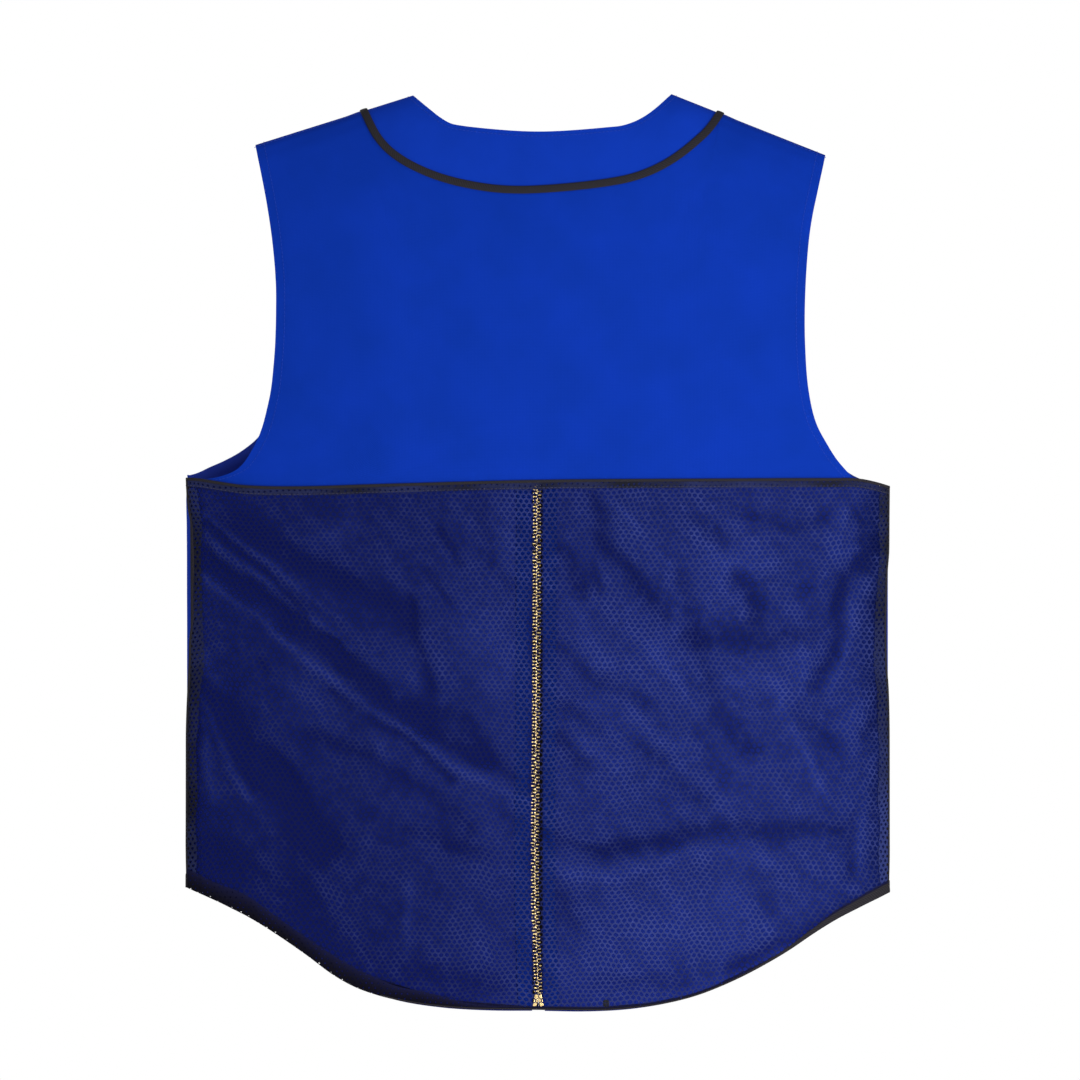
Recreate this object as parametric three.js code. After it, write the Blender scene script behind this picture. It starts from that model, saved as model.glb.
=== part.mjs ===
import * as THREE from 'three';
import { mergeVertices } from 'three/addons/utils/BufferGeometryUtils.js';

// A sleeveless zip vest of plain cloth with a see-through mesh lower back, hanging as it is worn.
// Millimetres, +Z up. The wearer faces +Y, so the back is at -Y and the wearer's right is at +X.
// Zero is midway between the two points where the shoulders meet the neck.

const HALF_WIDTH = 276;      // centre line to the side fold: half the flat chest width
const SHOULDER_ROLL = 150;   // drop over which the cloth turns from the shoulder to the back
const CLOTH = 1.2;           // wall of every cloth panel
const STRIP = 0.9;           // wall of the doubled mesh strips and of the zip tapes
const SEAM_GAP = 0.3;        // clear line between pieces that are sewn together
const STRIP_LIFT = 0.6;      // the strips lie this far off the mesh
const SEAM_STRIP_HIGH = 6.8;
const SIDE_STRIP_WIDE = 7.2;
const PIPING_WIDE = 6.2;
const PIPING_THICK = 2.2;
const TEETH_HALF = 3.5;      // centre line to the outer end of a tooth
const TEETH_THICK = 2.6;
const TAPE_EDGE = 16;        // centre line to the sewn edge of the zip tape
const FRONT_EDGE = 5;        // centre line to the folded edge of a front
const ZIP_TOP = -192;
const ZIP_FOOT = -722;
const STOP_HIGH = 12;        // room for the metal stop at the foot of the zip
const FRONT_HEM_DROP = 1.5;  // the fronts' hem hangs this much lower at the centre

const { lerp, clamp, smoothstep } = THREE.MathUtils;

// Depth of the hanging body, measured from the shoulder plane.
const DEPTHS = [
  { z: 0, back: 46, front: 52 },
  { z: -300, back: 50, front: 57 },
  { z: -730, back: 42, front: 46 },
];

// The shoulder lines.
const SHOULDERS = {
  left: { neckX: -98, neckZ: -1, seamX: -137, tipX: -222, tipZ: -40 },
  right: { neckX: 105.5, neckZ: 0, seamX: 144, tipX: 226.5, tipZ: -48 },
};

// Share of each side fold that the front takes round to the back.
const SIDE_WRAP = [
  { z: -300, left: 0.9, right: 0.5 },
  { z: -345, left: 3.2, right: 0.8 },
  { z: -420, left: 3.4, right: 1.9 },
  { z: -510, left: 0.9, right: 0.6 },
  { z: -730, left: 0.5, right: 0.5 },
];

// The zip hangs with a slight wave.
const ZIP_WAVE = [
  { z: -190, x: 0 },
  { z: -400, x: -0.8 },
  { z: -620, x: -2.2 },
  { z: -730, x: 0.8 },
];

// Height of the doubled strip along the back hem.
const HEM_STRIP = [
  { x: -276, high: 11.5 },
  { x: -150, high: 11 },
  { x: -90, high: 8 },
  { x: -35, high: 3 },
  { x: 200, high: 2.6 },
  { x: 245, high: 8 },
  { x: 276, high: 9.5 },
];

// Soft folds: each runs between two places on the cloth, with its half width and its rise.
const BACK_FOLDS = [
  { fromX: -150, fromZ: -90, toX: -115, toZ: -285, half: 30, rise: 2.5 },
  { fromX: 120, fromZ: -95, toX: 155, toZ: -280, half: 32, rise: -2.5 },
  { fromX: -262, fromZ: -331, toX: -92, toZ: -469, half: 13, rise: 4 },
  { fromX: -262, fromZ: -368, toX: 0, toZ: -536, half: 16, rise: -4.5 },
  { fromX: -250, fromZ: -400, toX: 0, toZ: -566, half: 14, rise: 3.5 },
  { fromX: -262, fromZ: -455, toX: -180, toZ: -552, half: 15, rise: -3.5 },
  { fromX: 41, fromZ: -322, toX: 100, toZ: -410, half: 14, rise: -3.5 },
  { fromX: 108, fromZ: -360, toX: 212, toZ: -545, half: 16, rise: -3 },
  { fromX: 18, fromZ: -441, toX: 88, toZ: -476, half: 13, rise: -3 },
  { fromX: 76, fromZ: -516, toX: 139, toZ: -558, half: 14, rise: -3 },
  { fromX: 0, fromZ: -586, toX: 240, toZ: -567, half: 14, rise: -5 },
  { fromX: 57, fromZ: -608, toX: 190, toZ: -602, half: 15, rise: 3.5 },
  { fromX: 258, fromZ: -347, toX: 226, toZ: -453, half: 13, rise: -3 },
  { fromX: -215, fromZ: -632, toX: -30, toZ: -698, half: 15, rise: -3.5 },
];
const FRONT_FOLDS = [
  { fromX: -205, fromZ: -310, toX: -70, toZ: -470, half: 24, rise: 5 },
  { fromX: -120, fromZ: -470, toX: -95, toZ: -725, half: 22, rise: -5 },
  { fromX: 200, fromZ: -330, toX: 90, toZ: -500, half: 24, rise: 5 },
  { fromX: 130, fromZ: -480, toX: 160, toZ: -715, half: 24, rise: -5 },
];

// Edges seen from straight behind, as smooth curves through a few places.
const edge = (...places) => new THREE.SplineCurve(places.map(([x, z]) => new THREE.Vector2(x, z)));
const BACK_NECK = edge([-98, -1], [-87, -10.5], [-74, -20.5], [-58, -26], [0, -30.5],
  [60, -26.5], [76, -22.5], [90, -14], [105.5, 0]);
const BACK_SEAM_LINE = edge([-137, -13.3], [-122, -40], [-96, -59], [-58, -72], [-10, -77],
  [62, -70], [100, -56.5], [130.5, -33], [144, -15.3]);
const YOKE_SEAM = edge([-275.8, -302], [-262, -303], [-230, -308], [-184, -309], [-115, -307],
  [0, -304], [120, -303], [248, -302.5], [262, -304.5], [275.8, -308.5]);
const BACK_HEM = edge([-276, -624], [-230, -645], [-190, -670], [-150, -698], [-110, -711.5],
  [-60, -718], [0, -719], [60, -719], [110, -712], [150, -698], [190, -677], [230, -651], [276, -628]);

// Armholes and front neck edges, from the shoulder down.
const ARMHOLES = {
  backLeft: [[-222, -40], [-213, -84], [-206.5, -130], [-205, -172], [-207, -215], [-212.5, -250],
    [-222.5, -278], [-236, -296], [-250, -301.3], [-262, -303]],
  backRight: [[226.5, -48], [218.5, -84], [213, -115], [209.5, -172], [211.5, -225], [217.5, -256],
    [225, -272], [235, -288], [248, -302.5]],
  frontLeft: [[-222, -40], [-207, -84], [-199, -140], [-199, -190], [-208, -245], [-222, -271],
    [-243, -286], [-262, -295], [-271, -299]],
  frontRight: [[226.5, -48], [211, -88], [202, -140], [201, -190], [208, -245], [222, -275],
    [243, -296], [262, -306], [271, -309]],
};
const FRONT_NECK = {
  left: [[-98, -1], [-88, -30], [-62, -84], [-FRONT_EDGE, -188]],
  right: [[105.5, 0], [93, -30], [65, -84], [FRONT_EDGE, -188]],
};
const FRONT_SEAM_LINE = {
  left: [[-137, -13.3], [-127, -46], [-101, -102], [-FRONT_EDGE, -276]],
  right: [[144, -15.3], [132, -46], [104, -102], [FRONT_EDGE, -276]],
};
const FRONT_ROWS = 28;
const MESH_COLUMNS = 34;
const STRIP_COLUMNS = 2;
const FLAT_BY_SEAM = 40;     // folds die out this near the mesh panel's top and foot
const NECK_ROWS = 9;         // rows of a front beside its neck band
const ARMPIT_ROWS = 17;      // rows of a front above its armpit

// Values between the rows of a table.
function tableAt(rows, column, key, at) {
  const sign = Math.sign(rows[1][key] - rows[0][key]);
  let row = 0;
  while (row < rows.length - 2 && (at - rows[row + 1][key]) * sign > 0) row += 1;
  const [a, b] = [rows[row], rows[row + 1]];
  const share = clamp((at - a[key]) / (b[key] - a[key]), 0, 1);
  return lerp(a[column], b[column], smoothstep(share, 0, 1));
}

// Height of an edge at a distance across.
function heightAt(curve, x) {
  let [low, high] = [0, 1];
  for (let step = 0; step < 26; step += 1) {
    const middle = (low + high) / 2;
    if (curve.getPoint(middle).x < x) low = middle;
    else high = middle;
  }
  return curve.getPoint((low + high) / 2).y;
}

function shoulderAt(x) {
  const { left, right } = SHOULDERS;
  const slope = (s) => (s.tipZ - s.neckZ) / (s.tipX - s.neckX);
  if (x < left.neckX) return left.neckZ + slope(left) * (x - left.neckX);
  if (x > right.neckX) return right.neckZ + slope(right) * (x - right.neckX);
  return lerp(left.neckZ, right.neckZ, (x - left.neckX) / (right.neckX - left.neckX));
}

function foldsAt(folds, x, z) {
  let rise = 0;
  for (const fold of folds) {
    const [runX, runZ] = [fold.toX - fold.fromX, fold.toZ - fold.fromZ];
    const along = ((x - fold.fromX) * runX + (z - fold.fromZ) * runZ) / (runX ** 2 + runZ ** 2);
    const near = clamp(along, 0, 1);
    const away = Math.hypot(x - fold.fromX - near * runX, z - fold.fromZ - near * runZ);
    rise += fold.rise * Math.exp(-((away / fold.half) ** 2));
  }
  return rise;
}

// A place on the vest: bearing round the body from the centre of its half, and height.
const BACK = -1;
const FRONT = 1;
const bearingOf = (x) => Math.asin(clamp(x / HALF_WIDTH, -1, 1));
function place(bearing, z, half) {
  const x = HALF_WIDTH * Math.sin(bearing);
  const across = Math.cos(bearing);
  const side = across < 0 ? -half : half;
  const drop = clamp(shoulderAt(x) - z, 0, SHOULDER_ROLL);
  const roll = Math.sqrt(1 - (1 - drop / SHOULDER_ROLL) ** 2);
  const depth = tableAt(DEPTHS, side === BACK ? 'back' : 'front', 'z', z);
  const folds = foldsAt(side === BACK ? BACK_FOLDS : FRONT_FOLDS, x, z);
  let fade = smoothstep(Math.abs(across), 0, 0.45) * smoothstep(drop, 0, 90);
  if (side === BACK) {
    fade *= smoothstep(Math.abs(z - heightAt(YOKE_SEAM, x)), 0, FLAT_BY_SEAM);
    fade *= smoothstep(z - heightAt(BACK_HEM, x), 0, FLAT_BY_SEAM);
  }
  return new THREE.Vector3(x, side * (depth * Math.abs(across) * roll + folds * fade) + half * SEAM_GAP / 2, z);
}

// Bearing of the side seam on the back half.
function sideSeam(z, hand) {
  const wrap = tableAt(SIDE_WRAP, hand, 'z', z);
  return Math.asin(1 - wrap / HALF_WIDTH) * (hand === 'left' ? -1 : 1);
}

// A patch between four edges, each giving a bearing and a height.
function patch(top, bottom, left, right, blend = (v) => v) {
  const corner = [top(0), top(1), bottom(0), bottom(1)];
  return (u, v) => {
    const b = blend(v);
    return [0, 1].map((i) => (1 - b) * top(u)[i] + b * bottom(u)[i] + (1 - u) * left(v)[i] + u * right(v)[i]
      - (1 - u) * ((1 - b) * corner[0][i] + b * corner[2][i]) - u * ((1 - b) * corner[1][i] + b * corner[3][i]));
  };
}

// Direction out of the cloth at a place.
function outward(bearing, z, half) {
  const shoulder = (turn) => shoulderAt(HALF_WIDTH * Math.sin(turn));
  const drop = shoulder(bearing) - z;
  const near = (turn, more) => place(bearing + turn, shoulder(bearing + turn) - Math.max(drop + more, 0), half);
  const across = near(1e-3, 0).sub(near(-1e-3, 0));
  const up = near(0, -0.02).sub(near(0, 0.02));
  return across.cross(up).multiplyScalar(-half).normalize();
}

// A closed wall over part of the vest, between two heights measured outward from it.
function wall(spot, half, columns, rows, inner, outer) {
  const box = new THREE.BoxGeometry(1, 1, 1, columns, rows, 1);
  box.deleteAttribute('normal');
  box.deleteAttribute('uv');
  const geometry = mergeVertices(box, 1e-6);
  const position = geometry.attributes.position;
  const runs = spot(0.51, 0.5)[0] > spot(0.49, 0.5)[0] ? 1 : -1;
  const falls = spot(0.5, 0.51)[1] < spot(0.5, 0.49)[1] ? 1 : -1;
  const facesOut = runs * falls * half < 0;
  for (let i = 0; i < position.count; i += 1) {
    const [bearing, z] = spot(position.getX(i) + 0.5, 0.5 - position.getY(i));
    const share = facesOut ? position.getZ(i) + 0.5 : 0.5 - position.getZ(i);
    const here = place(bearing, z, half).addScaledVector(outward(bearing, z, half), lerp(inner, outer, share));
    position.setXYZ(i, here.x, here.y, here.z);
  }
  geometry.computeVertexNormals();
  return geometry;
}

// A flat oval cord laid on the cloth along a path.
function cord(path, steps) {
  const SIDES = 8;
  const rings = [];
  const centres = [];
  for (let i = 0; i <= steps; i += 1) {
    const t = (1 - Math.cos(Math.PI * i / steps)) / 2;
    const [here, along, normal] = path(t);
    const across = along.clone().cross(normal).normalize();
    const middle = here.addScaledVector(normal, SEAM_GAP + PIPING_THICK / 2);
    centres.push(middle);
    for (let k = 0; k < SIDES; k += 1) {
      const turn = 2 * Math.PI * (k + 0.5) / SIDES;
      rings.push(middle.clone().addScaledVector(across, PIPING_WIDE / 2 * Math.cos(turn) / Math.cos(Math.PI / SIDES))
        .addScaledVector(normal, PIPING_THICK / 2 * Math.sin(turn) / Math.cos(Math.PI / SIDES)));
    }
  }
  const first = rings.push(centres[0]) - 1;
  const last = rings.push(centres[steps]) - 1;
  const index = [];
  for (let k = 0; k < SIDES; k += 1) {
    const next = (k + 1) % SIDES;
    for (let i = 0; i < steps; i += 1) {
      const [a, b] = [i * SIDES, (i + 1) * SIDES];
      index.push(a + k, b + k, a + next, a + next, b + k, b + next);
    }
    index.push(first, k, next, last, steps * SIDES + next, steps * SIDES + k);
  }
  const geometry = new THREE.BufferGeometry().setFromPoints(rings);
  geometry.setIndex(index);
  geometry.computeVertexNormals();
  return geometry;
}

const group = new THREE.Group();
function add(name, geometry, colour, roughness, metalness = 0) {
  const material = new THREE.MeshStandardMaterial({ color: colour, roughness, metalness });
  material.name = name;
  const mesh = new THREE.Mesh(geometry, material);
  mesh.name = name;
  group.add(mesh);
}
const BLUE = 0x0f37b0;
const CHARCOAL = 0x2a2a30;
const NAVY_MESH = 0x1f2650;
const GOLD = 0xc9a75a;

const spread = (t) => (1 - Math.cos(Math.PI * t)) / 2;
const rollIn = (t) => t * (1 - (1 - t) ** 3);

// Back yoke: shoulders, neck seam, armholes and the seam to the mesh.
const armholeLine = (places) => {
  const curve = new THREE.SplineCurve(places.map(([x, z]) => new THREE.Vector2(bearingOf(x), z)));
  return (t) => curve.getPoint(t).toArray();
};
const yokeShoulderShare = 1 / 6;
function neckSeam(u, gap) {
  const { left, right } = SHOULDERS;
  const seamX = lerp(left.seamX, right.seamX, spread(u));
  const x = lerp(left.seamX + gap, right.seamX - gap, spread(u));
  return [bearingOf(x), Math.min(heightAt(BACK_SEAM_LINE, seamX) + gap / 2, shoulderAt(x))];
}
function yokeTop(u) {
  const { left, right } = SHOULDERS;
  let x;
  if (u < yokeShoulderShare) x = lerp(left.tipX, left.seamX - SEAM_GAP, u / yokeShoulderShare);
  else if (u > 1 - yokeShoulderShare) x = lerp(right.tipX, right.seamX + SEAM_GAP, (1 - u) / yokeShoulderShare);
  else return neckSeam((u - yokeShoulderShare) / (1 - 2 * yokeShoulderShare), -SEAM_GAP);
  return [bearingOf(x), shoulderAt(x)];
}
const yokeLeft = armholeLine(ARMHOLES.backLeft);
const yokeRight = armholeLine(ARMHOLES.backRight);
const yokeFoot = (u) => {
  const x = lerp(ARMHOLES.backLeft.at(-1)[0], ARMHOLES.backRight.at(-1)[0], u);
  return [bearingOf(x), heightAt(YOKE_SEAM, x) + SEAM_GAP / 2];
};
const yoke = patch(yokeTop, yokeFoot, yokeLeft, yokeRight);
add('back_yoke', wall((u, v) => yoke(u, 1 - Math.cos(v * Math.PI / 2)), BACK, 36, 13, -CLOTH, 0),
  BLUE, 0.7);

// Back neck band, between the neck edge and the piped seam.
const neckTop = (u) => {
  const x = lerp(SHOULDERS.left.neckX, SHOULDERS.right.neckX, spread(u));
  return [bearingOf(x), heightAt(BACK_NECK, x)];
};
const neckFoot = (u) => neckSeam(u, SEAM_GAP);
const neckEnd = (shoulder) => (v) => {
  const x = lerp(shoulder.neckX, shoulder.seamX - Math.sign(shoulder.seamX) * SEAM_GAP, v);
  return [bearingOf(x), shoulderAt(x)];
};
const neck = patch(neckTop, neckFoot, neckEnd(SHOULDERS.left), neckEnd(SHOULDERS.right));
add('back_neck_band', wall(neck, BACK, 24, 3, -CLOTH, 0), BLUE, 0.7);

// Piping along the neck seam.
function seamPath(places, half) {
  const curve = new THREE.SplineCurve(places.map(([x, z]) => new THREE.Vector2(x, z)));
  const spot = (t) => {
    const { x, y } = curve.getPoint(clamp(t, 0, 1));
    return [bearingOf(x), Math.min(y, shoulderAt(x)), half];
  };
  return (t) => {
    const along = place(...spot(t + 1e-4)).sub(place(...spot(t - 1e-4))).normalize();
    const normal = outward(...spot(t));
    return [place(...spot(t)), along, normal.addScaledVector(along, -normal.dot(along)).normalize()];
  };
}
const backSeamPlaces = BACK_SEAM_LINE.points.map((p) => p.toArray());
add('back_piping', cord(seamPath(backSeamPlaces, BACK), 34), CHARCOAL, 0.8);

// Mesh lower back, from the yoke seam to the curved hem.
const sideRun = (hand) => (v) => {
  const [topZ, footZ] = hand === 'left'
    ? [YOKE_SEAM.points[0].y, BACK_HEM.points[0].y] : [YOKE_SEAM.points.at(-1).y, BACK_HEM.points.at(-1).y];
  const z = lerp(topZ - SEAM_GAP / 2, footZ, v);
  const bearing = sideSeam(z, hand);
  return [bearing - Math.sign(bearing) * SEAM_GAP / 2 / 45, z];
};
const meshEdge = (curve, lift) => (u) => {
  const [left, right] = [sideRun('left')(lift < 0 ? 0 : 1)[0], sideRun('right')(lift < 0 ? 0 : 1)[0]];
  const x = HALF_WIDTH * lerp(Math.sin(left), Math.sin(right), u);
  return [bearingOf(x), heightAt(curve, x) + lift];
};
const mesh = patch(meshEdge(YOKE_SEAM, -SEAM_GAP / 2), meshEdge(BACK_HEM, 0), sideRun('left'), sideRun('right'));
function columnsAcross(u) {
  const t = 2 * u - 1;
  const plain = 1 - 2 * STRIP_COLUMNS / MESH_COLUMNS;
  const stripAt = 1 - SIDE_STRIP_WIDE / HALF_WIDTH;
  if (Math.abs(t) < plain) return (1 + stripAt * t / plain) / 2;
  const turn = lerp(Math.asin(stripAt), Math.PI / 2, (Math.abs(t) - plain) / (1 - plain));
  return (1 + Math.sign(t) * Math.sin(turn)) / 2;
}
const meshAt = (u, v) => mesh(columnsAcross(u), v);
add('mesh_back_panel', wall(meshAt, BACK, MESH_COLUMNS, 20, -CLOTH, 0), NAVY_MESH, 0.8);

// Strips of doubled mesh on the panel's edges.
const stripOut = [STRIP_LIFT, STRIP_LIFT + STRIP];
const meshX = (u) => HALF_WIDTH * (2 * columnsAcross(u) - 1);
const meshHigh = (u) => heightAt(YOKE_SEAM, meshX(u)) - heightAt(BACK_HEM, meshX(u));
add('yoke_seam_band', wall((u, v) => meshAt(u, v * SEAM_STRIP_HIGH / meshHigh(u)), BACK, MESH_COLUMNS, 1, ...stripOut),
  CHARCOAL, 0.85);
add('hem_band', wall((u, v) => meshAt(u, 1 - (1 - v) * tableAt(HEM_STRIP, 'high', 'x', meshX(u)) / meshHigh(u)),
  BACK, MESH_COLUMNS, 1, ...stripOut), CHARCOAL, 0.85);
for (const hand of ['left', 'right']) {
  const run = sideRun(hand);
  const long = run(0)[1] - run(1)[1];
  const topV = (SEAM_STRIP_HIGH + 2 * SEAM_GAP) / long;
  const footV = 1 - (HEM_STRIP.at(hand === 'left' ? 0 : -1).high + 5) / long;
  const firstU = hand === 'left' ? 0 : 1 - STRIP_COLUMNS / MESH_COLUMNS;
  add(`${hand}_side_band`, wall(
    (u, v) => meshAt(firstU + u * STRIP_COLUMNS / MESH_COLUMNS, lerp(topV, footV, v)),
    BACK, STRIP_COLUMNS, 20, ...stripOut), CHARCOAL, 0.85);
}

// Fronts, bands, piping and zip tapes on each hand.
const zipX = (z) => tableAt(ZIP_WAVE, 'x', 'z', z);
const frontHemAt = (x) => heightAt(BACK_HEM, x) - FRONT_HEM_DROP * (1 - (x / HALF_WIDTH) ** 2);
for (const hand of ['left', 'right']) {
  const sign = hand === 'left' ? -1 : 1;
  const shoulder = SHOULDERS[hand];
  const seamPlaces = FRONT_SEAM_LINE[hand];
  const seamCurve = new THREE.SplineCurve(seamPlaces.map(([x, z]) => new THREE.Vector2(x, z)));
  const seamEdge = (gap) => (t) => {
    const p = seamCurve.getPoint(t);
    const x = p.x + sign * gap * (1 - t);
    return [bearingOf(x), Math.min(p.y - gap * t, shoulderAt(x))];
  };
  const centreEdge = (z) => bearingOf(zipX(z) + sign * FRONT_EDGE);
  const inner = (v) => {
    const row = v * FRONT_ROWS;
    if (row < NECK_ROWS) return seamEdge(SEAM_GAP)(rollIn(row / NECK_ROWS));
    const share = (row - NECK_ROWS) / (FRONT_ROWS - NECK_ROWS);
    const z = lerp(seamPlaces.at(-1)[1] - SEAM_GAP, frontHemAt(sign * FRONT_EDGE), share);
    return [lerp(bearingOf(seamPlaces.at(-1)[0]), centreEdge(z), smoothstep(share, 0, 0.3)), z];
  };
  const armholePlaces = ARMHOLES[`front${hand === 'left' ? 'Left' : 'Right'}`];
  const armpitZ = armholePlaces.at(-1)[1] - 2;
  const seamBearing = (z) => sign * Math.PI - sideSeam(z, hand) - sign * SEAM_GAP / 2 / 45;
  const armholeCurve = new THREE.SplineCurve([
    ...armholePlaces.map(([x, z]) => new THREE.Vector2(bearingOf(x), z)),
    new THREE.Vector2(seamBearing(armpitZ), armpitZ)]);
  const outer = (v) => {
    const row = v * FRONT_ROWS;
    if (row < ARMPIT_ROWS) return armholeCurve.getPoint(rollIn(row / ARMPIT_ROWS)).toArray();
    const z = lerp(armpitZ, frontHemAt(sign * HALF_WIDTH), (row - ARMPIT_ROWS) / (FRONT_ROWS - ARMPIT_ROWS));
    return [seamBearing(z), z];
  };
  const top = (u) => {
    const x = lerp(shoulder.seamX + sign * SEAM_GAP, shoulder.tipX, u);
    return [bearingOf(x), shoulderAt(x)];
  };
  const foot = (u) => {
    const bearing = lerp(inner(1)[0], outer(1)[0], u);
    return [bearing, frontHemAt(HALF_WIDTH * Math.sin(bearing))];
  };
  const front = patch(top, foot, inner, outer, (v) => v * v);
  add(`${hand}_front`, wall(front, FRONT, 12, FRONT_ROWS, -CLOTH, 0), BLUE, 0.7);

  const bandInner = new THREE.SplineCurve(FRONT_NECK[hand].map(([x, z]) => new THREE.Vector2(x, z)));
  const bandEdge = (v) => {
    const p = bandInner.getPoint(v);
    return [bearingOf(p.x), p.y];
  };
  const bandTop = (u) => {
    const x = lerp(shoulder.neckX, shoulder.seamX - sign * SEAM_GAP, u);
    return [bearingOf(x), shoulderAt(x)];
  };
  const bandFoot = (u) => [bearingOf(sign * FRONT_EDGE),
    lerp(FRONT_NECK[hand].at(-1)[1], seamPlaces.at(-1)[1] + SEAM_GAP, u)];
  const band = patch(bandTop, bandFoot, bandEdge, seamEdge(-SEAM_GAP));
  add(`${hand}_neck_band`, wall((u, v) => band(u, rollIn(v)), FRONT, 3, NECK_ROWS, -CLOTH, 0), BLUE, 0.7);
  add(`${hand}_piping`, cord(seamPath(seamPlaces, FRONT), 20), CHARCOAL, 0.8);

  const zipStrip = (near, far) => (u, v) => {
    const z = lerp(ZIP_TOP, ZIP_FOOT + STOP_HIGH, v);
    return [bearingOf(zipX(z) + sign * lerp(near, far, u)), z];
  };
  const tapeOut = -CLOTH - SEAM_GAP;
  add(`zip_tape_${hand}`, wall(zipStrip(TEETH_HALF + SEAM_GAP, TAPE_EDGE), FRONT, 1, 26, tapeOut - STRIP, tapeOut),
    BLUE, 0.8);
  const teethStrip = (u, v) => {
    const z = lerp(ZIP_TOP - 2, ZIP_FOOT + STOP_HIGH, v);
    return [bearingOf(zipX(z) + sign * lerp(SEAM_GAP / 2, TEETH_HALF, u)), z];
  };
  const teethMiddle = tapeOut - STRIP / 2;
  add(`zip_teeth_${hand}`, wall(teethStrip, FRONT, 1, 26, teethMiddle - TEETH_THICK / 2, teethMiddle + TEETH_THICK / 2),
    GOLD, 0.35, 1);
}

// Metal at the two ends of the zip: the two-legged foot and the slider with its pull.
function plate(outline, thick) {
  const shape = new THREE.Shape(outline.map(([a, b]) => new THREE.Vector2(a, b)));
  return mergeVertices(new THREE.ExtrudeGeometry(shape, { depth: thick, bevelEnabled: false })
    .deleteAttribute('uv').deleteAttribute('normal'));
}
const footZ = ZIP_FOOT + STOP_HIGH - SEAM_GAP;
const footPlace = place(bearingOf(zipX(footZ)), footZ, FRONT);
const foot = plate([[-2.6, 0], [2.6, 0], [4.6, -10], [1.6, -10], [0, -4], [-1.6, -10], [-4.6, -10]], TEETH_THICK);
foot.rotateX(Math.PI / 2);
foot.translate(footPlace.x, footPlace.y - CLOTH - SEAM_GAP - STRIP / 2 + TEETH_THICK / 2, footZ);
add('zip_bottom_stop', foot, GOLD, 0.35, 1);

const SLIDER_WIDE = 8;
const sliderPlace = place(bearingOf(zipX(ZIP_TOP - 8)), ZIP_TOP - 8, FRONT);
const slider = plate([[0, 4], [2.2, 5], [5.2, 5], [5.8, 3.4], [4.6, -6], [4.6, -34], [3, -34], [3, -6],
  [3.4, 2.6], [2.4, 2.6], [2, -9], [0, -9]], SLIDER_WIDE);
slider.rotateX(Math.PI / 2);
slider.rotateZ(Math.PI / 2);
slider.translate(sliderPlace.x - SLIDER_WIDE / 2, sliderPlace.y + SEAM_GAP, sliderPlace.z);
add('zip_slider', slider, GOLD, 0.35, 1);

export default group;
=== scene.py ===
import math

import bmesh
import bpy
import numpy as np
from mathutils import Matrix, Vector, noise


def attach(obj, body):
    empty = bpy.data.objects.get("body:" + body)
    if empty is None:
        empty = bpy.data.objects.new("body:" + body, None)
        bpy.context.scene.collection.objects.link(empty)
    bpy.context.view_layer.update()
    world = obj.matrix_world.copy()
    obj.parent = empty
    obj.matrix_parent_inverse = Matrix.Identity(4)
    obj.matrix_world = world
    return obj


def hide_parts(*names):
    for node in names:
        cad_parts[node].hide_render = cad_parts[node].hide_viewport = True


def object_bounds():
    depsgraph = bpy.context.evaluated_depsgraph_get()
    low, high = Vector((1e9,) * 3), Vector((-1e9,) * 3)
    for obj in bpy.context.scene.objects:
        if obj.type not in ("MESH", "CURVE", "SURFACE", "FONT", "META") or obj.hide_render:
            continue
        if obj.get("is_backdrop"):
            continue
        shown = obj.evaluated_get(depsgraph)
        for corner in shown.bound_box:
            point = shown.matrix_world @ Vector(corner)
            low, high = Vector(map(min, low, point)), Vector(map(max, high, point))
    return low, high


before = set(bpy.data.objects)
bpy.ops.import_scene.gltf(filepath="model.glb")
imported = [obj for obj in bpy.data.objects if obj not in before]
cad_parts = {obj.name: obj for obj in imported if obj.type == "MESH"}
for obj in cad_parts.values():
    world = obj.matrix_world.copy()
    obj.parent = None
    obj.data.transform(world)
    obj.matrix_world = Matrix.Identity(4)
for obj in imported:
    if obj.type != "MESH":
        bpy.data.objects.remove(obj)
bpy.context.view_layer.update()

# Back yoke
# The plain upper back, one panel of light polyester poplin from the shoulders down to the armpits.
# It is cut to the armholes, and sewn to the fronts at the shoulders and to the neck band.
MM = 0.001
BACK = -1
FRONT = 1
CLOTH_THICK = 1.1 * MM
MOTTLE = 45 * MM
THREAD_DRAWN = 1.1 * MM       # real threads are near 0.25 mm, too fine for the render
WAVE_LENGTH = 0.314           # of a wave texture whose scale is 1
TONES = (-4.0, 4.0)           # darkest and lightest tone of a creased layer
YOKE_FINER = (6, 5)           # times finer than the frame's panel, down and across
YOKE_CALM = 30 * MM           # the cloth lies smooth so near its edges
YOKE_HUMPS = ((60, 0.7), (22, 0.15))  # size and height in mm
SKIN_TURN = math.radians(48)  # neighbouring triangles of one face turn less than this


def linear(colour):
    """The linear colour of an sRGB hex value."""
    shares = [int(colour[i:i + 2], 16) / 255 for i in (1, 3, 5)]
    return [s / 12.92 if s <= 0.04045 else ((s + 0.055) / 1.055) ** 2.4 for s in shares] + [1.0]


def put(tree, kind, into=None, **settings):
    """Adds a node with its settings, and sets or links its inputs by name or number."""
    node = tree.nodes.new(kind)
    for name, value in settings.items():
        setattr(node, name, value)
    for socket, value in (into or {}).items():
        if isinstance(value, bpy.types.NodeSocket):
            tree.links.new(value, node.inputs[socket])
        else:
            node.inputs[socket].default_value = value
    return node


def new_material(name, **values):
    """A material with one shader, its plain values set on the shader's own sockets."""
    material = bpy.data.materials.new(name)
    material.use_nodes = True
    shader = material.node_tree.nodes["Principled BSDF"]
    for socket, value in values.items():
        shader.inputs[socket.replace("_", " ")].default_value = value
    return material, material.node_tree, shader.inputs


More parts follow.
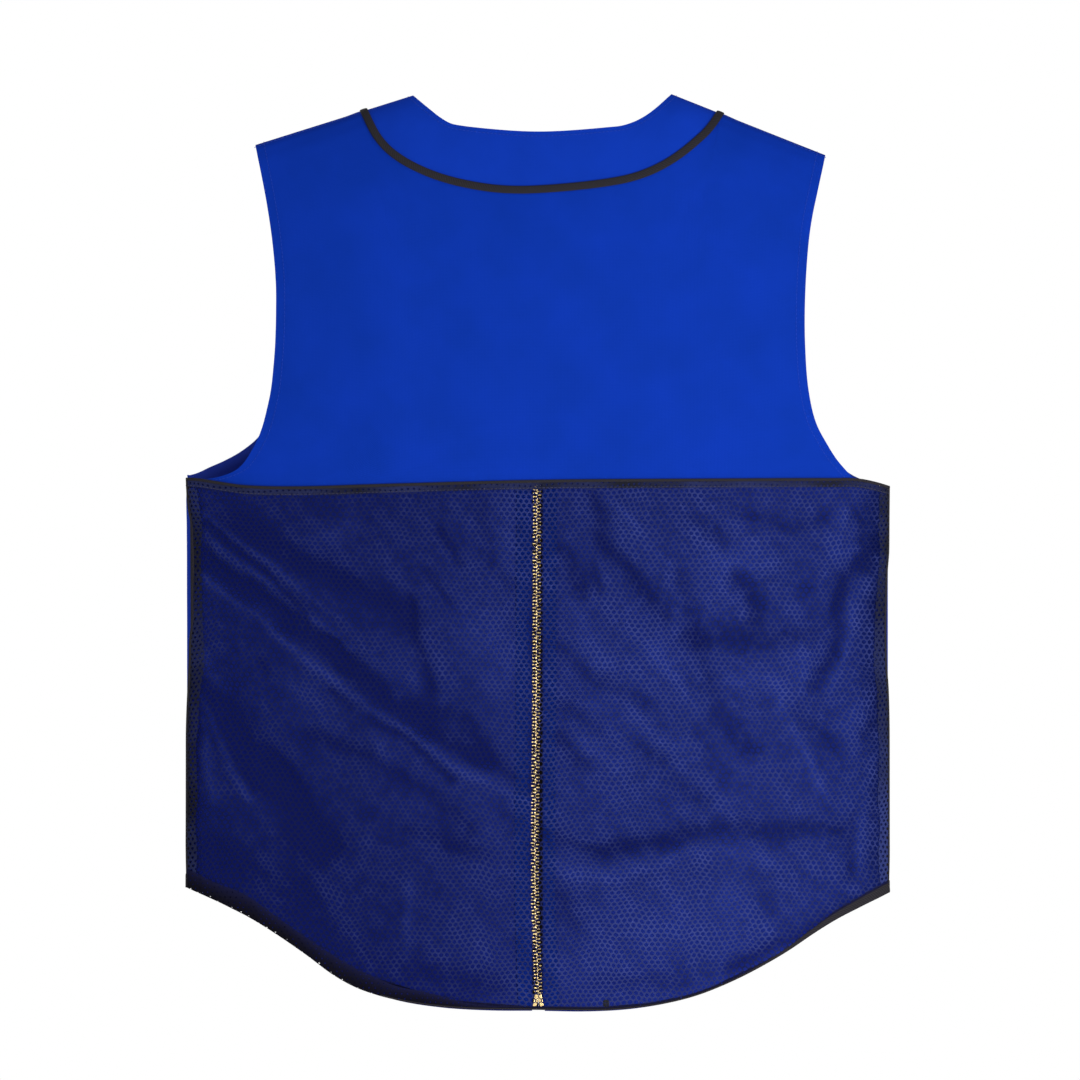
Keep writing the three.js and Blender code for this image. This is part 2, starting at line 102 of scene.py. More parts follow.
def cloth_corners(node, facing):
    """The outer face of a cloth wall in the frame, as a grid of points: rows go down, columns to +X."""
    solid = bmesh.new()
    solid.from_mesh(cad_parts[node].data)
    bmesh.ops.remove_doubles(solid, verts=solid.verts, dist=1e-6)
    solid.normal_update()
    looking_out = [face for face in solid.faces if facing * face.normal.y > 0]
    first = max(looking_out, key=lambda face: face.calc_area())
    skin = {first}
    waiting = [first]
    while waiting:
        face = waiting.pop()
        for other in {f for edge in face.edges for f in edge.link_faces} - skin:
            if face.normal.angle(other.normal) < SKIN_TURN:
                skin.add(other)
                waiting.append(other)

    # Every cell of the grid is split the same way, so each triangle's sides are known from its neighbour's.
    corner = next(v for v in solid.verts if sum(face in skin for face in v.link_faces) == 1)
    first = next(face for face in corner.link_faces if face in skin)
    slant = next(loop for loop in first.loops if corner not in loop.edge.verts)
    where = {corner: np.array((0, 0))}
    done = {first}
    waiting = [(slant, 1)]
    while waiting:
        slant, sign = waiting.pop()
        across = slant.link_loop_next
        along = across.link_loop_next
        if along.vert not in where:
            if across.vert in where:
                where[along.vert] = where[across.vert] + (sign, 0)
            else:
                where[along.vert] = where[slant.vert] - (0, sign)
        where[across.vert] = where[along.vert] - (sign, 0)
        where[slant.vert] = where[along.vert] + (0, sign)
        beyond = slant.link_loop_radial_next
        below = across.link_loop_radial_next
        beside = along.link_loop_radial_next
        for other in (beyond, below.link_loop_prev, beside.link_loop_next):
            if other.face in skin and other.face not in done:
                done.add(other.face)
                waiting.append((other, -sign))
    spots = np.array(list(where.values()))
    corners = np.empty((*np.ptp(spots, axis=0) + 1, 3))
    for vert, spot in where.items():
        corners[tuple(spot - spots.min(axis=0))] = vert.co
    solid.free()

    down = np.abs((corners[-1] - corners[0]).mean(axis=0))
    over = np.abs((corners[:, -1] - corners[:, 0]).mean(axis=0))
    if down[0] - down[2] > over[0] - over[2]:
        corners = corners.transpose(1, 0, 2)
    if corners[0, :, 2].mean() < corners[-1, :, 2].mean():
        corners = corners[::-1]
    if corners[:, 0, 0].mean() > corners[:, -1, 0].mean():
        corners = corners[:, ::-1]
    return corners


def smooth_through(points, stations, at):
    """Points on the smooth curves that pass through rows of points at their stations."""
    gaps = np.diff(stations).reshape(-1, 1, 1)
    slopes = np.diff(points, axis=0) / gaps
    leans = np.empty_like(points)
    leans[1:-1] = (slopes[:-1] * gaps[1:] + slopes[1:] * gaps[:-1]) / (gaps[1:] + gaps[:-1])
    leans[0] = 1.5 * slopes[0] - 0.5 * leans[1] if len(points) > 2 else slopes[0]
    leans[-1] = 1.5 * slopes[-1] - 0.5 * leans[-2] if len(points) > 2 else slopes[0]
    span = np.clip(np.searchsorted(stations, at, side="right") - 1, 0, len(stations) - 2)
    gap = gaps[span]
    share = (at - stations[span]).reshape(-1, 1, 1) / gap
    rest = 1 - share
    return (rest ** 2 * ((1 + 2 * share) * points[span] + share * gap * leans[span])
            + share ** 2 * ((1 + 2 * rest) * points[span + 1] - rest * gap * leans[span + 1]))


def finer(corners, rows, columns):
    """The smooth surface through a grid of points, with so many times more rows and columns."""
    for times in (rows, columns):
        steps = np.linalg.norm(np.diff(corners, axis=0), axis=2).mean(axis=1)
        stations = np.concatenate([[0], np.cumsum(steps)])
        count = len(steps) * times + 1
        at = np.interp(np.linspace(0, len(steps), count), np.arange(len(stations)), stations)
        corners = smooth_through(corners, stations, at).transpose(1, 0, 2)
    return corners


def unit(ways):
    """The same directions with a length of one."""
    return ways / np.linalg.norm(ways, axis=-1, keepdims=True)


def outward(points, facing):
    """Direction out of the cloth at every point of a grid."""
    return unit(-facing * np.cross(np.gradient(points, axis=0), np.gradient(points, axis=1)))


def flat_places(points):
    """Where each point lay on the cut cloth, in metres across and up."""
    step = np.diff(points, axis=1, prepend=points[:, :1])
    across = np.cumsum(np.hypot(step[..., 0], step[..., 1]), axis=1)
    middle = np.abs(points[len(points) // 2, :, 0]).argmin()
    across += (points[:, middle, 0] - across[:, middle])[:, None]
    step = np.diff(points, axis=0, prepend=points[:1])
    up = points[0, :, 2] - np.cumsum(np.hypot(step[..., 2], step[..., 1]), axis=0)
    return np.stack([across, up], axis=2)


def from_edge(flat):
    """Distance of every point from the nearest edge of its panel."""
    sides = np.minimum(flat[..., 0] - flat[:, :1, 0], flat[:, -1:, 0] - flat[..., 0])
    ends = np.minimum(flat[:1, :, 1] - flat[..., 1], flat[..., 1] - flat[-1:, :, 1])
    return np.minimum(sides, ends)


def unevenness(flat, size, seed):
    """Soft humps and dents of about one size over a panel, from -1 to 1."""
    return np.array([[noise.noise(Vector((u / size, v / size, seed))) for u, v in row] for row in flat])


def humps(flat, sizes, seed):
    """How far soft humps lift a panel: each size and height in mm is drawn from a seed of its own."""
    lift = np.zeros(flat.shape[:2])
    for k, (size, high) in enumerate(sizes):
        lift += unevenness(flat, size * MM, seed + 3 * k) * high * MM
    return lift


def streaks(flat, turn, long, wide, seed):
    """Soft streaks of about one length and width over a panel, turned from upright, from -1 to 1."""
    along = flat @ np.array((math.sin(turn), -math.cos(turn)))
    over = flat @ np.array((math.cos(turn), math.sin(turn)))
    return unevenness(np.stack([along / long, over / wide], axis=2), 1.0, seed)


def grid_faces(rows, columns, facing):
    """Faces of a grid of points, turned to look outward."""
    first = np.arange(rows * columns).reshape(rows, columns)
    ring = [first[:-1, :-1], first[1:, :-1], first[1:, 1:], first[:-1, 1:]]
    return np.stack(ring[::-facing], axis=-1).reshape(-1, 4)


def add_piece(name, mesh, material):
    """A new piece in the scene, with its place in its mesh."""
    mesh.materials.clear()
    mesh.materials.append(material)
    piece = bpy.data.objects.new(name, mesh)
    bpy.context.scene.collection.objects.link(piece)
    return piece


def cloth_piece(name, points, facing, material, thick, inner=None):
    """A panel of cloth over a grid of points, with its weave laid straight on the cut cloth."""
    mesh = bpy.data.meshes.new(name)
    mesh.from_pydata(points.reshape(-1, 3), [], grid_faces(*points.shape[:2], facing))
    flat = flat_places(points).reshape(-1, 2)
    corners = np.empty(len(mesh.loops), np.int32)
    mesh.loops.foreach_get("vertex_index", corners)
    mesh.uv_layers.new(name="cut").data.foreach_set("uv", flat[corners].ravel())
    mesh.shade_smooth()
    uses = np.zeros(len(mesh.edges), np.int32)
    edges = np.empty(len(mesh.loops), np.int32)
    mesh.loops.foreach_get("edge_index", edges)
    np.add.at(uses, edges, 1)
    sharp = mesh.attributes.new("sharp_edge", "BOOLEAN", "EDGE")
    sharp.data.foreach_set("value", uses == 1)
    piece = add_piece(name, mesh, material)
    wall = piece.modifiers.new("Wall", "SOLIDIFY")
    wall.thickness = thick
    wall.offset = -1
    if inner:
        mesh.materials.append(inner)
        wall.material_offset = 1
    return piece


def cut_size(points):
    """Width, length and area of a panel's cut cloth, in metres."""
    width, length = (np.linalg.norm(np.diff(points, axis=k), axis=2).sum(axis=k).max() for k in (1, 0))
    down = np.gradient(points, axis=0)
    over = np.gradient(points, axis=1)
    edge = np.ones(points.shape[:2])
    edge[[0, -1]] *= 0.5
    edge[:, [0, -1]] *= 0.5
    area = (np.linalg.norm(np.cross(down, over), axis=2) * edge).sum()
    return (float(width), float(length)), float(min(area, width * length))


# Polyester poplin, piece-dyed royal blue and calendered: an even, deep colour with a faint cloudy mottle,
# a fine plain weave seen close up and hardly any shine. Its inner side is a copy with painted shade: darker
# all over, and darker still in the painted shade of creases.
def poplin_side(name, dark, light, creased=False):
    """One side of the cloth between two tints, mixed by its mottle or by the painted light and shade of the
    creases over it.
    """
    material, tree, shader = new_material(name, Specular_IOR_Level=0.01)
    place = put(tree, "ShaderNodeUVMap", uv_map="cut").outputs["UV"]
    cloud = put(tree, "ShaderNodeTexNoise", {"Vector": place, "Scale": 1 / MOTTLE, "Detail": 3.0})
    cloud = cloud.outputs["Fac"]
    share = put(tree, "ShaderNodeMapRange", {0: cloud, 1: 0.2, 2: 0.8})
    if creased:
        # Painted light and shade: the tone attribute makes this side darker or paler.
        tone = put(tree, "ShaderNodeAttribute", attribute_name="tone")
        share = put(tree, "ShaderNodeMapRange", {0: tone.outputs["Fac"], 1: TONES[0], 2: TONES[1]})
    tint = put(tree, "ShaderNodeMix", {0: share.outputs[0], 6: linear(dark), 7: linear(light)},
               data_type="RGBA")
    thread = {"Vector": place, "Scale": WAVE_LENGTH / THREAD_DRAWN}
    warp = put(tree, "ShaderNodeTexWave", thread, bands_direction="X").outputs["Fac"]
    weft = put(tree, "ShaderNodeTexWave", thread, bands_direction="Y").outputs["Fac"]
    weave = put(tree, "ShaderNodeMath", {0: warp, 1: weft}, operation="MULTIPLY")
    relief = put(tree, "ShaderNodeBump", {
        "Height": weave.outputs[0], "Strength": 0.45, "Distance": 0.12 * MM})
    rough = put(tree, "ShaderNodeMapRange", {0: cloud, 3: 0.72, 4: 0.86})
    tree.links.new(tint.outputs[2], shader["Base Color"])
    tree.links.new(relief.outputs[0], shader["Normal"])
    tree.links.new(rough.outputs[0], shader["Roughness"])
    return material


poplin = poplin_side("Polyester poplin, royal blue", "#052273", "#07257f")
poplin_inner_painted_shade = poplin_side("Polyester poplin, inner side, painted shade", "#070d48", "#1f3086", creased=True)

yoke_points = finer(cloth_corners("back_yoke", BACK), *YOKE_FINER)
yoke_flat = flat_places(yoke_points)
calm = np.clip(from_edge(yoke_flat) / YOKE_CALM, 0, 1)
lift = humps(yoke_flat, YOKE_HUMPS, seed=1.5)
yoke_points += outward(yoke_points, BACK) * (lift * calm)[..., None]
yoke = cloth_piece("yoke_cloth", yoke_points, BACK, poplin, CLOTH_THICK, poplin_inner_painted_shade)
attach(yoke, "root")
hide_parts("back_yoke")

# Neck bands
# A band of the same poplin, doubled, that finishes the neck edge all round to the zip.
# Its lower edge is sewn to the yoke and to the fronts under the piping.
NECK_FINER = (8, 6)
FRONT_NECK_FINER = (9, 8)

# The same poplin in two layers, with painted light: its tints are a shade lighter than the yoke's.
poplin_band_painted_light = poplin_side("Polyester poplin, doubled, painted light", "#07257c", "#092988")

neck_corners = cloth_corners("back_neck_band", BACK)
neck_points = finer(neck_corners, *NECK_FINER)
neck_band = cloth_piece("back_neck_cloth", neck_points, BACK, poplin_band_painted_light, CLOTH_THICK)
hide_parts("back_neck_band")
front_band_points = {}
front_bands = {}
for hand, shoulder in (("left", neck_corners[::-1, 0]), ("right", neck_corners[:, -1])):
    corners = cloth_corners(f"{hand}_neck_band", FRONT)
    corners[0] = shoulder
    points = finer(corners, *FRONT_NECK_FINER)
    front_band_points[hand] = points
    front_bands[hand] = cloth_piece(f"{hand}_neck_cloth", points, FRONT, poplin_band_painted_light, CLOTH_THICK)
    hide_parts(f"{hand}_neck_band")
for band in (neck_band, *front_bands.values()):
    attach(band, "root")

# Fronts
# Two panels of the same poplin from the shoulders to the curved hem, joined by the zip.
# They wrap a little round the side folds and are sewn there to the net back.
FRONT_HEM_LOWER = 3 * MM     # the turned hem's slack below the frame's edge, at the centre
FRONT_HEM_HALF = 250 * MM    # how far to each side the slack reaches
FRONT_FINER = (5, 8)
FRONT_CALM = 35 * MM
FRONT_HUMPS = ((85, 3.0), (30, 0.5))
FOLD_LONG = 210 * MM         # soft upright folds of the hanging cloth
FOLD_WIDE = 34 * MM
FOLD_HIGH = 2.2 * MM
front_points = {}
fronts = {}
for hand, seed in (("left", 11.5), ("right", 23.5)):
    corners = cloth_corners(f"{hand}_front", FRONT)
    corners[0, :, 1] = yoke_points[0, 0, 1]
    corners[-1, :, 2] -= FRONT_HEM_LOWER * np.clip(1 - (corners[-1, :, 0] / FRONT_HEM_HALF) ** 2, 0, 1)
    points = finer(corners, *FRONT_FINER)
    flat = flat_places(points)
    calm = np.clip(from_edge(flat) / FRONT_CALM, 0, 1)
    lift = humps(flat, FRONT_HUMPS, seed)
    lift += streaks(flat, 0.0, FOLD_LONG, FOLD_WIDE, seed + 5) * FOLD_HIGH
    points += outward(points, FRONT) * (lift * calm)[..., None]
    front_points[hand] = points
    fronts[hand] = cloth_piece(f"{hand}_front_cloth", points, FRONT, poplin, CLOTH_THICK, poplin_inner_painted_shade)
    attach(fronts[hand], "root")
    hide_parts(f"{hand}_front")

# Net back
# The lower back is one panel of warp-knitted polyester net, dark navy, with staggered six-sided holes.
# It hangs from the yoke seam and lets the blue fronts and the zip show through.
HOLE_PITCH = 4.5 * MM
HOLE_ROW = 3.4 * MM
NET_OPEN = 0.5               # share of the net that is hole
ZIP_OPEN = 0.68              # the same where the net is pulled wide over the zip
ZIP_CELLS = 0.6              # half the width of that, in holes: two columns of them
NET_MERGE = 0.02 * MM        # corners this near each other are one
NET_SCRAP = 0.02 * MM * MM   # smaller faces are what was gathered on the edge
NET_FINER = (9, 9)
NET_CALM = 26 * MM
NET_WANDER = 2.6 * MM        # how far the knit is pulled out of line here and there
WANDER_LONG = 24 * MM        # and over what length
CREASE_SHADE = 0.68          # how much of a crease's strength shows as shade
CREASE_STRAY = 22 * MM       # length over which a crease strays from its line
STRAY_SHARE = 0.7            # how far it strays, in halves of its width
STRAY_MOST = 6               # but of no wider half than this, in mm
CREASE_FADE = 30 * MM        # length over which it comes and goes
FADE_SHARE = 0.5             # how much it widens and narrows there
FADE_MOST = 1.3              # and how much stronger it gets at most
CREASE_STEEP = 1 / 2.5       # most that it rises, in halves of its width
SHADE_LIMITS = (-3.1, 3.4)
STREAK_TURN = math.radians(40)  # fine slanting streaks in the knit
STREAK_LONG = 46 * MM
STREAK_WIDE = 13 * MM
STREAK_HIGH = 0.7 * MM
SPECKLE = 8 * MM             # small uneven spots in the knit
SPECKLE_SHARE = 0.6          # as strong as so much of the streaks
FINE_SPECKLE = 4 * MM
CLOUDY_TONE = 1.5            # tone of the streaks and spots, and of the finest spots
FINE_TONE = 1.2
GRAIN_CALM = 12 * MM
GRAIN_ACROSS = (0, 150), (1.0, 1.5)  # stronger to the right: across in mm, and times

# Creases in the net, as read from the photo: half the width in mm, how strongly it dips (under 0) or
# stands out, and the places it runs through, across and up in mm.
NET_CREASES = (
    # The first row is painted shade on the threads along the zip, and the next three painted shade along
    # the left edge and the hem; in every row the tone is painted shade in the dips and painted light where
    # the net stands out.
    (3.5, -6, (0, -315), (-1, -400), (-2, -620), (1, -718)),
    (9, -5, (-277, -500), (-279, -560), (-277, -625)),
    (9, -5, (-274, -628), (-230, -648), (-180, -677), (-130, -702), (-60, -716)),
    (6, -4, (274, -632), (230, -648), (190, -668), (150, -690)),
    (2.5, -4, (-261, -337), (-226, -367), (-201, -390), (-180, -409)),
    (2.5, 2.4, (-261, -332), (-216, -366), (-179, -396), (-146, -418)),
    (2.5, 2.2, (-256, -354), (-218, -381), (-179, -410), (-147, -437)),
    (7, -3.4, (-261, -367), (-210, -400), (-163, -436), (-116, -476), (-69, -512), (-10, -541)),
    (3, 2.6, (-263, -382), (-226, -406), (-186, -441), (-151, -469), (-108, -496), (-69, -528), (-6, -557)),
    (3, -2.4, (-163, -469), (-146, -482)),
    (3, -2.4, (-131, -491), (-106, -504), (-67, -540)),
    (12.5, -2.2, (-240, -337), (-186, -368), (-128, -396), (-104, -410)),
    (4.5, -2.6, (-100, -396), (-97, -429), (-83, -470)),
    (8.5, -2.4, (-104, -483), (-65, -489), (-36, -520)),
    (14, 1.4, (-128, -441), (-108, -461)),
    (23.5, 1.7, (-53, -422), (-29, -453)),
    (15.5, 1.8, (-26, -331), (-20, -367)),
    (3, -2.2, (-77, -343), (-60, -371)),
    (3, -2.2, (-88, -374), (-64, -403)),
    (6.5, -1.6, (-48, -319), (-37, -367), (-20, -384)),
    (9.5, 1.2, (-151, -339), (-186, -352)),
    (5.5, 2, (-265, -441), (-248, -469)),
    (13.5, -3.4, (-261, -469), (-234, -512), (-193, -559), (-171, -586)),
    (3, 2.4, (-266, -474), (-253, -504), (-237, -538), (-226, -557)),
    (4, 1.8, (-266, -494), (-258, -531), (-256, -555)),
    (15.5, 1, (-194, -461), (-163, -492)),
    (4.5, -1.8, (-218, -445), (-213, -455)),
    (5.5, -2, (-179, -504), (-131, -522), (-84, -553), (-51, -579)),
    (6.5, 1.6, (-130, -504), (-120, -524)),
    (4.5, -2.2, (-29, -567), (-3, -577)),
    (7, -2, (-104, -580), (-69, -590), (-39, -599)),
    (19, -2.6, (-261, -602), (-210, -637), (-163, -673), (-124, -690)),
    (9.5, -2, (-108, -690), (-26, -703)),
    (4.5, 1.4, (-99, -618), (-105, -679)),
    (6.5, -3.6, (44, -318), (53, -351), (69, -371), (84, -390), (98, -412)),
    (3, 1.8, (55, -319), (80, -343), (106, -372)),
    (6.5, -2.2, (115, -381), (124, -418), (132, -447), (143, -488), (165, -514)),
    (8, -3, (10, -357), (24, -365), (35, -390)),
    (4, -2.4, (44, -371), (50, -392)),
    (5.5, -3, (157, -378), (168, -389), (175, -412)),
    (8.5, -2.4, (118, -428), (151, -430), (190, -429), (220, -420)),
    (6.5, -3.8, (267, -355), (242, -381), (236, -414), (230, -441), (219, -462)),
    (4, 2.4, (263, -382), (250, -402), (242, -437), (231, -470)),
    (4.5, -2.2, (269, -398), (270, -492), (259, -504)),
    (4.5, -2.4, (252, -331), (256, -355)),
    (4.5, 1.6, (242, -323), (236, -360), (258, -359)),
    (4, 2.4, (188, -467), (198, -496), (210, -516), (226, -553)),
    (6.5, -2.6, (16, -437), (41, -457), (65, -469), (87, -481)),
    (4.5, -2.2, (19, -480), (51, -501)),
    (5.5, -2.6, (16, -506), (38, -531)),
    (4.5, -2.6, (79, -511), (99, -524)),
    (6.5, -2.2, (102, -538), (134, -557)),
    (10, 2, (142, -368), (181, -367)),
    (8, 2.2, (95, -441), (125, -486)),
    (8, 2, (157, -461), (186, -458)),
    (8.5, 2.4, (209, -447), (211, -458)),
    (8, 2.4, (248, -489), (245, -498)),
    (9.5, 2, (27, -403), (52, -451)),
    (7, 1.6, (46, -483), (80, -494), (121, -520)),
    (8, 2, (36, -511), (62, -528)),
    (8, -1.8, (120, -335), (146, -351)),
    (7, -2, (165, -329), (201, -345), (220, -338)),
    (7, -2, (204, -489), (233, -509)),
    (4, 2.2, (266, -517), (253, -558)),
    (7, -3.6, (2, -583), (49, -596), (96, -590), (143, -579), (190, -577), (239, -576)),
    (6.5, 2.2, (11, -605), (51, -616), (96, -604), (145, -596), (183, -601)),
    (5.5, -1.8, (16, -628), (30, -655)),
    (4.5, -1.6, (179, -632), (199, -658)),
    (4.5, -2.2, (253, -555), (245, -618)),
    (4, 1.8, (260, -553), (252, -608)),
    (7, -2, (46, -700), (115, -699)),
    (20.5, 1, (65, -637), (143, -633)),
    (28, 1.2, (10, -686), (60, -678), (150, -652)),
)


def creases(points, folds):
    """How strongly creases dip or stand out at each point of a panel, and how far they move it."""
    tone = np.zeros(points.shape[:2])
    lift = np.zeros(points.shape[:2])
    spots = points[..., [0, 2]]
    wander = np.stack([unevenness(spots, CREASE_STRAY, seed) for seed in (31.5, 57.5)], axis=2)
    fade = 1 + FADE_SHARE * unevenness(spots, CREASE_FADE, seed=73.5)
    for half, rise, *places in folds:
        away = np.full(points.shape[:2], np.inf)
        for start, end in zip(places, places[1:]):
            start = np.array(start) * MM
            run = np.array(end) * MM - start
            gone = spots + wander * min(half, STRAY_MOST) * STRAY_SHARE * MM - start
            share = np.clip(gone @ run / (run @ run), 0, 1)
            away = np.minimum(away, np.linalg.norm(gone - share[..., None] * run, axis=2))
        near = np.exp(-(away / (half * fade * MM)) ** 2) * np.minimum(fade, FADE_MOST)
        tone += rise * near
        lift += np.clip(rise, -half * CREASE_STEEP, half * CREASE_STEEP) * near * MM
    return tone, lift


def finished(name, shape):
    """The mesh of a shape that has been put together."""
    mesh = bpy.data.meshes.new(name)
    shape.to_mesh(mesh)
    shape.free()
    return mesh


def net_cell(name, open_share):
    """Two holes' worth of net, lying flat: the threads between each hole and the next ones."""
    point = (HOLE_ROW ** 2 - (HOLE_PITCH / 2) ** 2) / (2 * HOLE_ROW)
    tip = HOLE_ROW - point
    side = HOLE_PITCH / 2
    ring = np.array([(side, -point), (side, point), (0, tip), (-side, point), (-side, -point), (0, -tip)])
    ring *= math.sqrt(open_share)
    cell = bmesh.new()
    for middle in ((0, 0), (side, HOLE_ROW)):
        hole = ring + middle
        beside = hole + (HOLE_PITCH, 0)
        right = hole + (side, HOLE_ROW)
        left = hole + (-side, HOLE_ROW)
        for outline in ((hole[0], beside[4], beside[3], hole[1]), (hole[1], right[5], right[4], hole[2]),
                        (hole[2], left[0], left[5], hole[3]), (hole[1], beside[3], right[5]),
                        (hole[2], right[4], left[0])):
            cell.faces.new([cell.verts.new((*spot, 0)) for spot in outline])
    bmesh.ops.remove_doubles(cell, verts=cell.verts, dist=1e-6)
    return finished(name, cell)


def new_tree(name, inputs):
    """An empty geometry tree with named inputs, and those inputs' sockets."""
    tree = bpy.data.node_groups.new(name, "GeometryNodeTree")
    for label, kind in inputs:
        tree.interface.new_socket(label, in_out="INPUT", socket_type=kind)
    tree.interface.new_socket("Made", in_out="OUTPUT", socket_type="NodeSocketGeometry")
    return tree, put(tree, "NodeGroupInput").outputs


# The net is laid out flat, cell by cell, and each of its corners is then moved to the place on the
# hanging panel that lies over it. What lies past the panel's edge is gathered on the edge and removed.
net_tree, given = new_tree("Net over a panel", (
    ("Panel", "NodeSocketGeometry"), ("Cell", "NodeSocketObject"), ("Wide Cell", "NodeSocketObject"),
    ("Wide Middle", "NodeSocketFloat"), ("Wide Half", "NodeSocketFloat"), ("Net Width", "NodeSocketFloat"),
    ("Net Height", "NodeSocketFloat"), ("Cells Across", "NodeSocketInt"), ("Cells Down", "NodeSocketInt"),
    ("Middle", "NodeSocketVector"), ("Smallest Face", "NodeSocketFloat"), ("Thread", "NodeSocketMaterial")))
rack = put(net_tree, "GeometryNodeMeshGrid", {
    "Size X": given["Net Width"], "Size Y": given["Net Height"],
    "Vertices X": given["Cells Across"], "Vertices Y": given["Cells Down"]})
rack = put(net_tree, "GeometryNodeTransform", {"Geometry": rack.outputs[0], "Translation": given["Middle"]})
spot = put(net_tree, "GeometryNodeInputPosition").outputs[0]
across = put(net_tree, "ShaderNodeSeparateXYZ", {0: spot}).outputs[0]
wide = put(net_tree, "FunctionNodeCompare", {
    0: across, 1: given["Wide Middle"], "Epsilon": given["Wide Half"]}, operation="EQUAL").outputs[0]
plain = put(net_tree, "FunctionNodeBooleanMath", {0: wide}, operation="NOT").outputs[0]
laid = put(net_tree, "GeometryNodeJoinGeometry")
for label, chosen in (("Cell", plain), ("Wide Cell", wide)):
    cell = put(net_tree, "GeometryNodeObjectInfo", {"Object": given[label]})
    cells = put(net_tree, "GeometryNodeInstanceOnPoints", {
        "Points": rack.outputs[0], "Selection": chosen, "Instance": cell.outputs["Geometry"]})
    net_tree.links.new(cells.outputs[0], laid.inputs[0])
laid = put(net_tree, "GeometryNodeRealizeInstances", {"Geometry": laid.outputs[0]})
laid = put(net_tree, "GeometryNodeMergeByDistance", {"Geometry": laid.outputs[0], "Distance": NET_MERGE})
laid = put(net_tree, "GeometryNodeStoreNamedAttribute", {
    "Geometry": laid.outputs[0], "Name": "cut", "Value": spot}, data_type="FLOAT2", domain="CORNER")
found = {}
for label, kind in (("tone", "FLOAT"), ("worn", "FLOAT_VECTOR")):
    stored = put(net_tree, "GeometryNodeInputNamedAttribute", {"Name": label}, data_type=kind)
    over = put(net_tree, "GeometryNodeSampleNearestSurface", {
        "Mesh": given["Panel"], "Value": stored.outputs["Attribute"], "Sample Position": spot},
               data_type=kind)
    found[label] = over.outputs["Value"]
laid = put(net_tree, "GeometryNodeStoreNamedAttribute", {
    "Geometry": laid.outputs[0], "Name": "tone", "Value": found["tone"]}, data_type="FLOAT", domain="POINT")
hung = put(net_tree, "GeometryNodeSetPosition", {"Geometry": laid.outputs[0], "Position": found["worn"]})
area = put(net_tree, "GeometryNodeInputMeshFaceArea")
scrap = put(net_tree, "FunctionNodeCompare", {
    0: area.outputs[0], 1: given["Smallest Face"]}, operation="LESS_THAN")
hung = put(net_tree, "GeometryNodeDeleteGeometry", {
    "Geometry": hung.outputs[0], "Selection": scrap.outputs[0]}, domain="FACE")
hung = put(net_tree, "GeometryNodeRealizeInstances", {"Geometry": hung.outputs[0]})
hung = put(net_tree, "GeometryNodeSetMaterial", {"Geometry": hung.outputs[0], "Material": given["Thread"]})
put(net_tree, "NodeGroupOutput", {0: hung.outputs[0]})


def grow(name, mesh, tree, material, values):
    """Runs a geometry tree on a mesh and keeps what it makes as a plain piece."""
    piece = add_piece(name, mesh, material)
    modifier = piece.modifiers.new(tree.name, "NODES")
    modifier.node_group = tree
    for socket in tree.interface.items_tree:
        if socket.in_out == "INPUT" and socket.name in values:
            modifier[socket.identifier] = values[socket.name]
    made = bpy.data.meshes.new_from_object(piece.evaluated_get(bpy.context.evaluated_depsgraph_get()))
    made.name = name
    piece.modifiers.clear()
    piece.data = made
    bpy.data.meshes.remove(mesh)
    return piece


def knit(name, points, tone, cell_mesh, wide_mesh, material, shift=(0.0, 0.0)):
    """Net over a grid of points, as one piece, with wider cells in two columns at the centre."""
    flat = flat_places(points)
    flat += np.stack([unevenness(flat, WANDER_LONG, seed) for seed in (91.5, 47.5)], axis=2) * NET_WANDER
    mesh = bpy.data.meshes.new(name + "_panel")
    spots = np.concatenate([flat, np.zeros((*flat.shape[:2], 1))], axis=2).reshape(-1, 3)
    mesh.from_pydata(spots, [], grid_faces(*flat.shape[:2], BACK))
    mesh.attributes.new("worn", "FLOAT_VECTOR", "POINT").data.foreach_set("vector", points.ravel())
    mesh.attributes.new("tone", "FLOAT", "POINT").data.foreach_set("value", tone.ravel())
    step = np.array((HOLE_PITCH, 2 * HOLE_ROW))
    low = np.floor((spots[:, :2].min(axis=0) - shift) / step) - 1
    high = np.ceil((spots[:, :2].max(axis=0) - shift) / step) + 1
    middle = (low + high) / 2 * step + shift
    across, down = (int(n) for n in high - low + 1)
    cell = add_piece("net_cell", cell_mesh, material)
    wide = add_piece("wide_cell", wide_mesh, material)
    net = grow(name, mesh, net_tree, material, {
        "Cell": cell, "Wide Cell": wide,
        "Wide Middle": -HOLE_PITCH / 2, "Wide Half": HOLE_PITCH * ZIP_CELLS,
        "Net Width": float((high - low)[0] * step[0]), "Net Height": float((high - low)[1] * step[1]),
        "Cells Across": across, "Cells Down": down, "Middle": (float(middle[0]), float(middle[1]), 0.0),
        "Smallest Face": NET_SCRAP, "Thread": material})
    bpy.data.objects.remove(cell)
    bpy.data.objects.remove(wide)
    net.data.shade_smooth()
    return net


